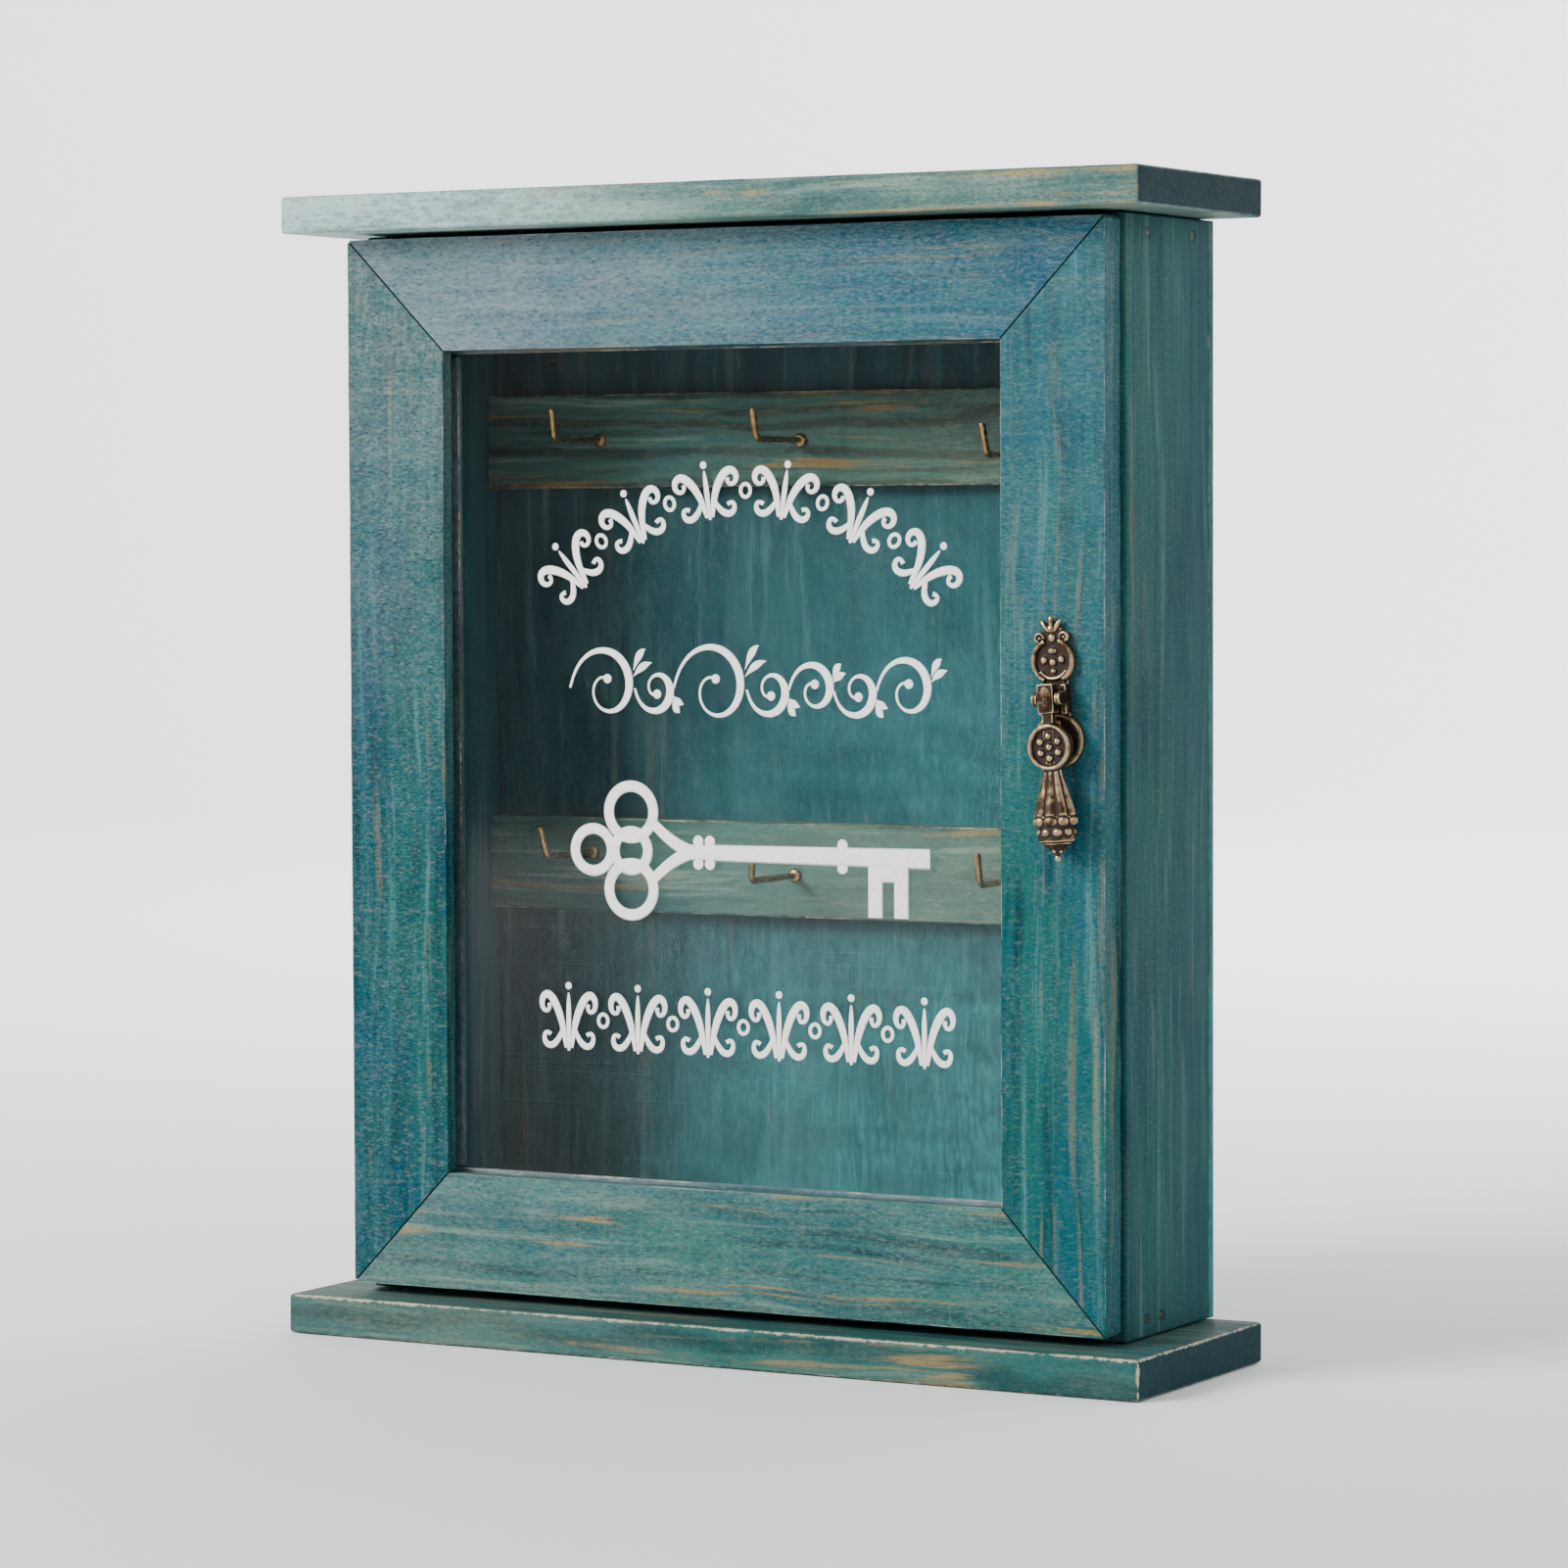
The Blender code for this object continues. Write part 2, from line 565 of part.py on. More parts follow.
def make_leaf(shop, name, centre, side, knuckle_indices):
    """One hinge leaf with its share of the knuckles; side is +1 behind the joint, -1 in front."""
    plate_start = HINGE_X + KNUCKLE_RADIUS + CLEARANCE
    inner = JOINT_Y + side * CLEARANCE / 2
    outer = inner + side * LEAF_THICKNESS
    near, far = sorted((inner, outer))
    half = HINGE_HEIGHT / 2
    bm = bmesh.new()
    place = Vector((HINGE_X, JOINT_Y, centre))
    size = Vector((LEAF_WIDTH, LEAF_THICKNESS, HINGE_HEIGHT))
    middle = Vector((plate_start + LEAF_WIDTH / 2, (near + far) / 2, centre)) - place
    bmesh.ops.create_cube(bm, size=1.0, matrix=Matrix.Translation(middle) @ Matrix.Diagonal((*size, 1.0)))
    leaf = shop.add(name, finish_mesh(bm, name, smooth=40), "old_brass", place)
    pitch = HINGE_HEIGHT / KNUCKLES
    height = pitch - CLEARANCE
    for index in knuckle_indices:
        level = centre - half + pitch * (index + 0.5)
        knuckle = shop.tool(f"{name}_knuckle_{index}",
                            rod_mesh(f"{name}_knuckle_{index}", KNUCKLE_RADIUS, height, "Z", 12),
                            (HINGE_X, JOINT_Y, level))
        boolean(leaf, knuckle, "UNION")
        low = Vector((HINGE_X, near, level - height / 2))
        high = Vector((plate_start + MM, far, level + height / 2))
        tab = shop.tool(f"{name}_tab_{index}", box_mesh(f"{name}_tab_{index}", high - low), (low + high) / 2)
        boolean(leaf, tab, "UNION")
    bore(shop, (leaf,), f"{name}_bore", PIN_RADIUS + CLEARANCE, HINGE_HEIGHT + 4 * MM,
         (HINGE_X, JOINT_Y, centre), "Z", 8)
    return leaf


def make_screw(shop, name, place, side, leaf, wood):
    """A countersunk screw through a leaf; its head faces the joint plane."""
    head_depth = 0.8 * MM
    outline = ((0, 0), (0, SCREW_HEAD), (side * head_depth, SCREW_SHANK),
               (side * (SCREW_LENGTH - 1.2 * MM), SCREW_SHANK), (side * SCREW_LENGTH, 0))
    bm = bmesh.new()
    spin_outline(bm, outline, "Y", 10)
    screw = shop.add(name, finish_mesh(bm, name, smooth=40), "old_brass", place)
    slot_size = (2 * SCREW_HEAD + MM, 0.7 * MM, 0.5 * MM)
    slot = shop.tool(f"{name}_slot", box_mesh(f"{name}_slot", slot_size), place)
    boolean(screw, slot)
    seat_depth = head_depth + CLEARANCE
    near_radius = SCREW_HEAD + 2 * CLEARANCE
    far_radius = SCREW_SHANK + CLEARANCE
    bm = bmesh.new()
    spin_outline(bm, ((-side * MM, 0), (-side * MM, near_radius), (0, near_radius),
                      (side * seat_depth, far_radius), (side * (SCREW_LENGTH + CLEARANCE), far_radius),
                      (side * (SCREW_LENGTH + CLEARANCE), 0)), "Y", 10)
    seat = shop.tool(f"{name}_seat", finish_mesh(bm, f"{name}_seat"), place)
    boolean(leaf, seat)
    boolean(wood, seat)


def make_hinges(shop, side_panel, stile):
    """Two five-knuckle butt hinges; returns the pieces that swing with the door."""
    swinging = []
    for label, centre in HINGE_CENTRES:
        for kind, side, wood, indices in (("fixed", 1, side_panel, (0, 2, 4)), ("door", -1, stile, (1, 3))):
            name = f"hinge_leaf_{kind}_{label}"
            leaf = make_leaf(shop, name, centre, side, indices)
            inner = JOINT_Y - side * MM
            outer = JOINT_Y + side * (CLEARANCE / 2 + LEAF_THICKNESS + CLEARANCE)
            near, far = sorted((inner, outer))
            reach = HINGE_X + KNUCKLE_RADIUS + LEAF_WIDTH + 2 * CLEARANCE
            tall = HINGE_HEIGHT / 2 + CLEARANCE
            pocket(shop, wood, f"{name}_recess", (-CARCASS_HALF - MM, near, centre - tall),
                   (reach, far, centre + tall))
            for end, offset in (("top", 0.5), ("bottom", -0.5)):
                across = HINGE_X + KNUCKLE_RADIUS + CLEARANCE + LEAF_WIDTH / 2 + 0.4 * MM
                place = Vector((across, JOINT_Y + side * CLEARANCE / 2, centre + offset * SCREW_SPACING))
                screw = f"hinge_screw_{kind}_{label}_{end}"
                make_screw(shop, screw, place, side, leaf, wood)
                if kind == "door":
                    swinging.append(bpy.data.objects[screw])
            if kind == "door":
                swinging.append(leaf)
        make_hinge_pin(shop, f"hinge_pin_{label}", centre)
    return swinging


def make_hinge_pin(shop, name, centre):
    """A pin through the knuckles with a round button at each end."""
    half = HINGE_HEIGHT / 2 + CLEARANCE
    button = 0.9 * MM
    bm = bmesh.new()
    spin_outline(bm, ((half + button, 0), (half + button, 0.7 * PIN_HEAD_RADIUS), (half, PIN_HEAD_RADIUS),
                      (half, PIN_RADIUS), (-half, PIN_RADIUS), (-half, PIN_HEAD_RADIUS),
                      (-half - button, 0.7 * PIN_HEAD_RADIUS), (-half - button, 0)), "Z", 10)
    shop.add(name, finish_mesh(bm, name, smooth=40), "old_brass", (HINGE_X, JOINT_Y, centre))


# ---------------------------------------------------------------- catch

def make_catch(shop, side_panel, stile):
    """A magnet in the side panel's edge and a steel strike on the door; returns the door's pieces."""
    across = CARCASS_HALF - SIDE_THICKNESS / 2
    place = Vector((across, CARCASS_FRONT_Y + MAGNET_LENGTH / 2, CATCH_HEIGHT))
    shop.add("catch_magnet", rod_mesh("catch_magnet", MAGNET_RADIUS, MAGNET_LENGTH, "Y"), "bright_steel",
             place)
    bore(shop, (side_panel,), "catch_magnet_bore", MAGNET_RADIUS + CLEARANCE,
         MAGNET_LENGTH + 2 * MM, place + Vector((0, CLEARANCE - MM, 0)), "Y", 12)
    width, height = STRIKE_SIZE
    strike_x = DOOR_RIGHT - width / 2 - MM
    middle = Vector((strike_x, DOOR_BACK_Y - STRIKE_THICKNESS / 2, CATCH_HEIGHT))
    strike = shop.add("catch_strike", box_mesh("catch_strike", (width, STRIKE_THICKNESS, height)),
                      "bright_steel", middle)
    edge = CLEARANCE
    pocket(shop, stile, "catch_strike_recess",
           (middle.x - width / 2 - edge, middle.y - STRIKE_THICKNESS / 2 - edge, middle.z - height / 2 - edge),
           (middle.x + width / 2 + edge, DOOR_BACK_Y + MM, middle.z + height / 2 + edge))
    nail_at = Vector((strike_x, DOOR_BACK_Y, CATCH_HEIGHT + 4.6 * MM))
    head, shank, length, sunk = 1.3 * MM, 0.6 * MM, 5.0 * MM, 0.4 * MM
    bm = bmesh.new()
    spin_outline(bm, ((0, 0), (0, head), (-sunk, head), (-sunk, shank), (-length, shank), (-length, 0)),
                 "Y", 8)
    nail = shop.add("catch_strike_nail", finish_mesh(bm, "catch_strike_nail", smooth=40), "bright_steel",
                    nail_at)
    deep = length + CLEARANCE
    bore(shop, (strike, stile), "strike_nail_bore", shank + CLEARANCE, deep + 2 * MM,
         nail_at - Vector((0, deep / 2 - MM, 0)), "Y")
    seat = sunk + CLEARANCE
    bore(shop, (strike,), "strike_nail_seat", head + CLEARANCE, seat + 2 * MM,
         nail_at - Vector((0, seat / 2 - MM, 0)), "Y")
    return [strike, nail]


# ---------------------------------------------------------------- pull

def arc(centre, radius, start, end, steps):
    """Points on an arc, angles in degrees from +X."""
    angles = [math.radians(start + (end - start) * step / steps) for step in range(steps + 1)]
    return [(centre[0] + radius * math.cos(a), centre[1] + radius * math.sin(a)) for a in angles]


def pull_outline():
    """Right half of the backplate's outline, from the crown's tip down to the lower lobe."""
    half = [(0.0, CROWN_TOP), (1.5 * MM, CROWN_TOP - 0.6 * MM)]
    half += arc((3.2 * MM, 18.2 * MM), 1.0 * MM, 70, -60, 3)
    half += arc((3.4 * MM, 15.0 * MM), 1.4 * MM, 80, -70, 4)
    half += arc((0.0, ROSETTE_CENTRE), ROSETTE_RADIUS, 55, -55, 8)
    half += [(2.9 * MM, 3.0 * MM), (3.9 * MM, 1.8 * MM), (3.9 * MM, -2.6 * MM)]
    half += arc((0.0, LOBE_CENTRE), LOBE_RADIUS, 58, -90, 11)
    return half


def flat_plate(shop, name, outline, thickness):
    """A flat outline given in X and Z, as a closed mesh standing out from Y = 0 towards -Y."""
    curve = bpy.data.curves.new(name, "CURVE")
    curve.dimensions = "2D"
    curve.fill_mode = "BOTH"
    curve.extrude = thickness / 2
    spline = curve.splines.new("POLY")
    spline.points.add(len(outline) - 1)
    for point, (across, up) in zip(spline.points, outline):
        point.co = (across, up, 0.0, 1.0)
    spline.use_cyclic_u = True
    blank = shop.tool(f"{name}_outline", curve)
    bpy.context.view_layer.update()
    mesh = bpy.data.meshes.new_from_object(blank.evaluated_get(bpy.context.evaluated_depsgraph_get()))
    bpy.data.objects.remove(blank, do_unlink=True)
    bm = bmesh.new()
    bm.from_mesh(mesh)
    bpy.data.meshes.remove(mesh)
    bmesh.ops.remove_doubles(bm, verts=bm.verts, dist=0.01 * MM)
    stand = Matrix.Translation((0, -thickness / 2, 0)) @ Matrix.Rotation(math.pi / 2, 4, "X")
    bmesh.ops.transform(bm, matrix=stand, verts=bm.verts)
    return finish_mesh(bm, name)


def make_pull(shop, stile, door_pivot):
    """Backplate, its two pins, the pivot pin and the swinging drop."""
    mount_place = Vector((PULL_ACROSS, DOOR_FRONT_Y - CLEARANCE, PULL_HEIGHT)) - door_pivot.location
    mount = empty(shop, "pull_mount", mount_place, door_pivot, math.radians(PULL_LEAN) * -1)
    right = pull_outline()
    left = [(-across, up) for across, up in reversed(right[1:-1])]
    plate = shop.add("pull_backplate", flat_plate(shop, "pull_backplate", right + left, PLATE_THICKNESS),
                     "old_brass")
    plate.parent = mount
    dress_plate(shop, plate, mount)
    pin_axis = -PIVOT_STAND_OFF
    pin = shop.add("pull_pivot_pin", rod_mesh("pull_pivot_pin", PIVOT_PIN, 2 * LUG_OUTER, "X", 10),
                   "old_brass", (0, pin_axis, 0))
    pin.parent = mount
    for label, height in (("upper", 17.0 * MM), ("lower", -6.2 * MM)):
        make_pull_nail(shop, f"pull_nail_{label}", height, plate, stile, mount)
    swing = empty(shop, "pull_pivot", (0, pin_axis, 0), mount)
    drop = make_drop(shop)
    drop.parent = swing
    return mount


def parented_tool(shop, name, mesh, place, parent):
    """A blank or cutter that follows a leaning parent."""
    tool = shop.tool(name, mesh, place)
    tool.parent = parent
    return tool


def dress_plate(shop, plate, mount):
    """Rosette, bosses and lugs of the backplate, and the pivot's bore."""
    face = -PLATE_THICKNESS
    rosette = parented_tool(shop, "rosette_blank", rod_mesh("rosette_blank", ROSETTE_RADIUS - 0.6 * MM,
                            1.2 * MM, "Y", 20), (0, face - 0.3 * MM, ROSETTE_CENTRE), mount)
    boolean(plate, rosette, "UNION")
    for sign in (-1, 1):
        middle = sign * (LUG_INNER + LUG_OUTER) / 2
        length = PIVOT_STAND_OFF + 1.4 * MM
        size = (LUG_OUTER - LUG_INNER, length, LUG_HEIGHT)
        lug = parented_tool(shop, f"lug_blank_{sign}", box_mesh("lug_blank", size),
                            (middle, -length / 2 - 0.4 * MM, 0), mount)
        boolean(plate, lug, "UNION")
    tool = parented_tool(shop, "pivot_bore", rod_mesh("pivot_bore", PIVOT_PIN + CLEARANCE, 20 * MM, "X", 10),
                         (0, -PIVOT_STAND_OFF, 0), mount)
    boolean(plate, tool)


def make_pull_nail(shop, name, height, plate, stile, mount):
    """A round-headed nail that holds the backplate to the stile."""
    head, shank, length, dome = 1.1 * MM, 0.6 * MM, 7.0 * MM, 0.7 * MM
    face = -PLATE_THICKNESS - CLEARANCE
    bm = bmesh.new()
    spin_outline(bm, ((-dome, 0), (-0.7 * dome, 0.7 * head), (0, head), (0, shank),
                      (length, shank), (length, 0)), "Y", 8)
    nail = shop.add(name, finish_mesh(bm, name, smooth=40), "old_brass", (0, face, height))
    nail.parent = mount
    reach = length + 2 * MM
    tool = parented_tool(shop, f"{name}_bore", rod_mesh(f"{name}_bore", shank + CLEARANCE, reach, "Y", 8),
                         (0, face + length + CLEARANCE - reach / 2, height), mount)
    boolean(plate, tool)
    boolean(stile, tool)


def drop_profile():
    """Half outline of the bell and tip: distance below the pivot and radius."""
    top, bell, tip = 15.5 * MM, 29.0 * MM, DROP_LENGTH
    flare = [(top + (bell - top) * step / 5, 1.7 * MM + 4.3 * MM * math.sin(math.pi / 2 * step / 5) ** 1.4)
             for step in range(6)]
    rows = [(29.6 * MM, 5.6 * MM), (31.6 * MM, 5.3 * MM), (32.2 * MM, 4.5 * MM), (34.2 * MM, 4.1 * MM),
            (34.8 * MM, 3.0 * MM), (36.4 * MM, 2.8 * MM), (37.0 * MM, 1.5 * MM)]
    return [(top, 0.0), *flare, *rows, (tip, 0.7 * MM), (tip, 0.0)]


def make_drop(shop):
    """The cast drop: an eye on the pivot, a disc and a fluted bell, hollow for the pin."""
    bm = bmesh.new()
    spin_outline(bm, [(-down, radius) for down, radius in drop_profile()], "Z", 16)
    bmesh.ops.scale(bm, vec=(1.0, BELL_FLATTEN, 1.0), verts=bm.verts)
    drop = shop.add("pull_drop", finish_mesh(bm, "pull_drop", smooth=40), "old_brass")
    pivot = bpy.data.objects["pull_pivot"]
    disc = parented_tool(shop, "disc_blank", rod_mesh("disc_blank", DISC_RADIUS, 3.0 * MM, "Y", 20),
                         (0, 0, -DISC_DROP), pivot)
    eye_size = (2 * EYE_HALF, EYE_FRONT + EYE_BACK, EYE_HEIGHT)
    eye = parented_tool(shop, "eye_blank", box_mesh("eye_blank", eye_size),
                        (0, (EYE_BACK - EYE_FRONT) / 2, 0), pivot)
    neck = parented_tool(shop, "neck_blank", box_mesh("neck_blank", (3.0 * MM, 2.4 * MM, 16.0 * MM)),
                         (0, 0, -9.0 * MM), pivot)
    for blank in (disc, eye, neck):
        boolean(drop, blank, "UNION")
    bore_tool = parented_tool(shop, "eye_bore", rod_mesh("eye_bore", PIVOT_PIN + CLEARANCE, 8 * MM, "X", 10),
                              (0, 0, 0), pivot)
    boolean(drop, bore_tool)
    return drop


# ---------------------------------------------------------------- whole object

def build():
    """Build the cabinet."""
    clear_scene()
    shop = Workshop()
    make_boards(shop)
    sides = make_sides(shop)
    inner_top, inner_bottom = make_inner_boards(shop)
    make_side_nails(shop, sides, inner_top, inner_bottom)
    make_hangers(shop, make_back(shop))
    make_hooks(shop, make_rails(shop))
    frame = make_door_frame(shop)
    glazing = make_glazing(shop)
    swinging = make_hinges(shop, sides["left"], frame["door_stile_left"])
    caught = make_catch(shop, sides["right"], frame["door_stile_right"])
    door_pivot = empty(shop, "door_pivot", (HINGE_X, JOINT_Y, 0.0))
    make_pull(shop, frame["door_stile_right"], door_pivot)
    hang([*frame.values(), *glazing, *swinging, *caught], door_pivot)
    bpy.context.view_layer.update()


build()
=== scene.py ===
"""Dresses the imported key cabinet: stained wood, clear glass with a white ornament, cast and bright brass.

Everything stands in the shared frame, in metres: +Z up, the door looks along -Y.
"""
import logging
import math
from dataclasses import dataclass, field, replace
from enum import Enum
from functools import cache
from typing import Any, Callable, Sequence

import bmesh
import bpy
import numpy as np
from mathutils import Matrix, Vector, noise


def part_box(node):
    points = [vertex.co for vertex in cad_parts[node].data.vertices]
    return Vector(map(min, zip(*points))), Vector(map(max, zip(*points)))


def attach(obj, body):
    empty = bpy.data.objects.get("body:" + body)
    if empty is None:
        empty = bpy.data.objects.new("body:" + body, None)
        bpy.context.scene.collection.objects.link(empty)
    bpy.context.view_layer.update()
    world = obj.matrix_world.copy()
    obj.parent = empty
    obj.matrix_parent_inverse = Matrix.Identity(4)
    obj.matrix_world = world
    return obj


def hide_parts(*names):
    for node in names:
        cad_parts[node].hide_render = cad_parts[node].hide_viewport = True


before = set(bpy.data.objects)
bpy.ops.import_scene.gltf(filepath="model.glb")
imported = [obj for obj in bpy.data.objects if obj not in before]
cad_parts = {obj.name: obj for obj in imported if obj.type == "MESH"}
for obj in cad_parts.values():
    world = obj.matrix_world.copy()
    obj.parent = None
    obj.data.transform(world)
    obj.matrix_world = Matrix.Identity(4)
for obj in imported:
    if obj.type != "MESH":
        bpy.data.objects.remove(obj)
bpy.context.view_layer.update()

LOG = logging.getLogger("key_cabinet")
MM = 0.001
Colour = tuple[float, float, float]
Point = tuple[float, float, float]
Flat = tuple[float, float]
Socket = bpy.types.NodeSocket
Mesh = bmesh.types.BMesh
Path = Callable[[float, float], Flat]   # maps along and above a line to across and up
FAR = 10.0                      # a plane set here is too far off to matter
WELD = 0.002 * MM               # points closer than this are one
INLAY_ROOM = 0.2                # clearance round ironwork let into wood, in millimetres
LENGTH_STEP = 5 * MM            # how often a timber's length is divided
WOOD_SHEEN = 0.06               # oiled stain is nearly matt
GLASS_IOR = 1.2                 # low, so that a thin pane does not bend what is behind it


def mm(*values: float) -> Vector:
    """A vector given in millimetres."""
    return Vector(values) * MM


# ---------------------------------------------------------------- node graphs

class Graph:
    """Adds linked nodes to one node tree."""

    def __init__(self, tree: bpy.types.NodeTree) -> None:
        """Keep the tree that the nodes go into."""
        self.tree = tree

    def feed(self, socket: Socket, value: Any) -> None:
        """Link a socket's value in, or set a plain one."""
        if isinstance(value, Socket):
            self.tree.links.new(value, socket)
        elif socket.type == "RGBA" and len(value) == 3:
            socket.default_value = (*value, 1.0)
        else:
            socket.default_value = value

    def add(self, kind: str, inputs: dict[int | str, Any] | None = None, **settings: Any) -> bpy.types.Node:
        """Add a node.

        Args:
            kind: the node's type name.
            inputs: values or sockets for its inputs, by name or place.
            settings: attributes of the node itself.

        Returns:
            The new node.
        """
        node = self.tree.nodes.new(kind)
        for name, value in settings.items():
            setattr(node, name, value)
        for key, value in (inputs or {}).items():
            self.feed(node.inputs[key], value)
        return node

    def math(self, operation: str, first: Any, second: Any = 0.0, clamp: bool = False) -> Socket:
        """One step of arithmetic."""
        node = self.add("ShaderNodeMath", {0: first, 1: second}, operation=operation, use_clamp=clamp)
        return node.outputs[0]

    def vector(self, operation: str, first: Any, second: Any = (0.0, 0.0, 0.0)) -> bpy.types.Node:
        """One step of vector arithmetic, as its node."""
        return self.add("ShaderNodeVectorMath", {0: first, 1: second}, operation=operation)

    def dot(self, first: Any, second: Any) -> Socket:
        """The dot product of two vectors."""
        return self.vector("DOT_PRODUCT", first, second).outputs[1]

    def moved(self, vector: Any, step: Point) -> Socket:
        """A vector moved by a step."""
        return self.vector("ADD", vector, step).outputs[0]

    def stretch(self, vector: Any, scale: Point) -> Socket:
        """A vector scaled unevenly."""
        return self.vector("MULTIPLY", vector, scale).outputs[0]

    def noise(self, vector: Any, scale: Point, detail: float = 2.0, roughness: float = 0.5,
              output: int = 0) -> Socket:
        """Noise whose scale differs along each axis, in features a metre."""
        return self.add("ShaderNodeTexNoise", {"Vector": self.stretch(vector, scale), "Scale": 1.0,
                                               "Detail": detail, "Roughness": roughness}).outputs[output]

    def band(self, value: Any, low: Any, high: Any, bottom: float = 0.0, top: float = 1.0) -> Socket:
        """A smooth step from bottom to top as the value goes from low to high."""
        return self.add("ShaderNodeMapRange", {"Value": value, "From Min": low, "From Max": high,
                                               "To Min": bottom, "To Max": top},
                        interpolation_type="SMOOTHSTEP").outputs[0]

    def product(self, *factors: Any) -> Socket:
        """Several factors multiplied together."""
        result = factors[0]
        for factor in factors[1:]:
            result = self.math("MULTIPLY", result, factor)
        return result

    def mix(self, factor: Any, first: Any, second: Any) -> Socket:
        """A blend of two colours."""
        return self.add("ShaderNodeMix", {0: factor, 6: first, 7: second}, data_type="RGBA").outputs[2]


SOCKETS = {"vector": "NodeSocketVector", "colour": "NodeSocketColor", "value": "NodeSocketFloat"}


def new_group(name: str, inputs: dict[str, str], outputs: dict[str, str]) -> tuple[Graph, Any, Any]:
    """Start a node group.

    Args:
        name: the group's name.
        inputs: kind of each named input.
        outputs: kind of each named output.

    Returns:
        Its graph, its input sockets and its output sockets.
    """
    tree = bpy.data.node_groups.new(name, "ShaderNodeTree")
    for sockets, way in ((inputs, "INPUT"), (outputs, "OUTPUT")):
        for label, kind in sockets.items():
            tree.interface.new_socket(name=label, in_out=way, socket_type=SOCKETS[kind])
    graph = Graph(tree)
    return graph, graph.add("NodeGroupInput").outputs, graph.add("NodeGroupOutput").inputs


@cache
def arris_group() -> bpy.types.NodeTree:
    """Wear along the arrises of a squared member: a mask from the distance to the nearest one.

    Returns:
        The node group.
    """
    graph, given, out = new_group("arris_wear", {
        "Vector": "vector", "Centre": "vector", "Half": "vector", "End A": "vector", "Normal A": "vector",
        "End B": "vector", "Normal B": "vector", "Favour": "vector", "Reach": "value", "Broken": "value",
        "Joined": "value", "Fade And Light Way": "vector", "Fade And Light Level": "value",
    }, {"Wear": "value", "End Grain": "value", "Sun": "value"})
    place = graph.vector("SUBTRACT", given["Vector"], given["Centre"]).outputs[0]
    inside = graph.vector("SUBTRACT", given["Half"], graph.vector("ABSOLUTE", place).outputs[0]).outputs[0]
    depth = graph.add("ShaderNodeSeparateXYZ", {0: inside}).outputs
    ends = []
    for end in "AB":
        reach = graph.vector("SUBTRACT", given["Vector"], given[f"End {end}"]).outputs[0]
        ends.append(graph.math("ABSOLUTE", graph.dot(reach, given[f"Normal {end}"])))
    cut = graph.math("MINIMUM", *ends)
    graph.feed(out["End Grain"], graph.band(cut, 0.08 * MM, 0.26 * MM, 1.0, 0.0))
    # A straight ramp across the member, broken up by noise: sun fading on some members, painted light and
    # shade on others.
    shade = graph.math("ADD", graph.dot(place, given["Fade And Light Way"]), given["Fade And Light Level"])
    uneven = graph.band(graph.noise(given["Vector"], (30, 90, 90), 3.0, 0.6), 0.3, 0.7, 0.6, 1.4)
    graph.feed(out["Sun"], graph.math("MULTIPLY", shade, uneven, True))
    end = graph.math("ADD", cut, given["Joined"])
    near = [graph.math("MINIMUM", depth[0], depth[1]), graph.math("MINIMUM", depth[2], end)]
    far = [graph.math("MAXIMUM", depth[0], depth[1]), graph.math("MAXIMUM", depth[2], end)]
    second = graph.math("MINIMUM", graph.math("MAXIMUM", *near), graph.math("MINIMUM", *far))
    patches = graph.band(graph.noise(given["Vector"], (46, 46, 46), 3.0, 0.6), 0.36, 0.64, 0.0, 1.3)
    patchy = graph.math("ADD", graph.product(patches, given["Broken"]),
                        graph.math("SUBTRACT", 1.0, given["Broken"]))
    ragged = graph.band(graph.noise(given["Vector"], (620, 620, 620), 3.0, 0.65), 0.3, 0.7, 0.5, 1.35)
    leaning = graph.dot(graph.vector("DIVIDE", place, given["Half"]).outputs[0], given["Favour"])
    share = graph.math("MULTIPLY_ADD", leaning, 0.4)
    share.node.inputs[2].default_value = 0.62
    share.node.use_clamp = True
    limit = graph.product(given["Reach"], patchy, ragged, share)
    worn = graph.band(second, graph.math("MULTIPLY", limit, 0.45), limit, 1.0, 0.0)
    graph.feed(out["Wear"], worn)
    return graph.tree


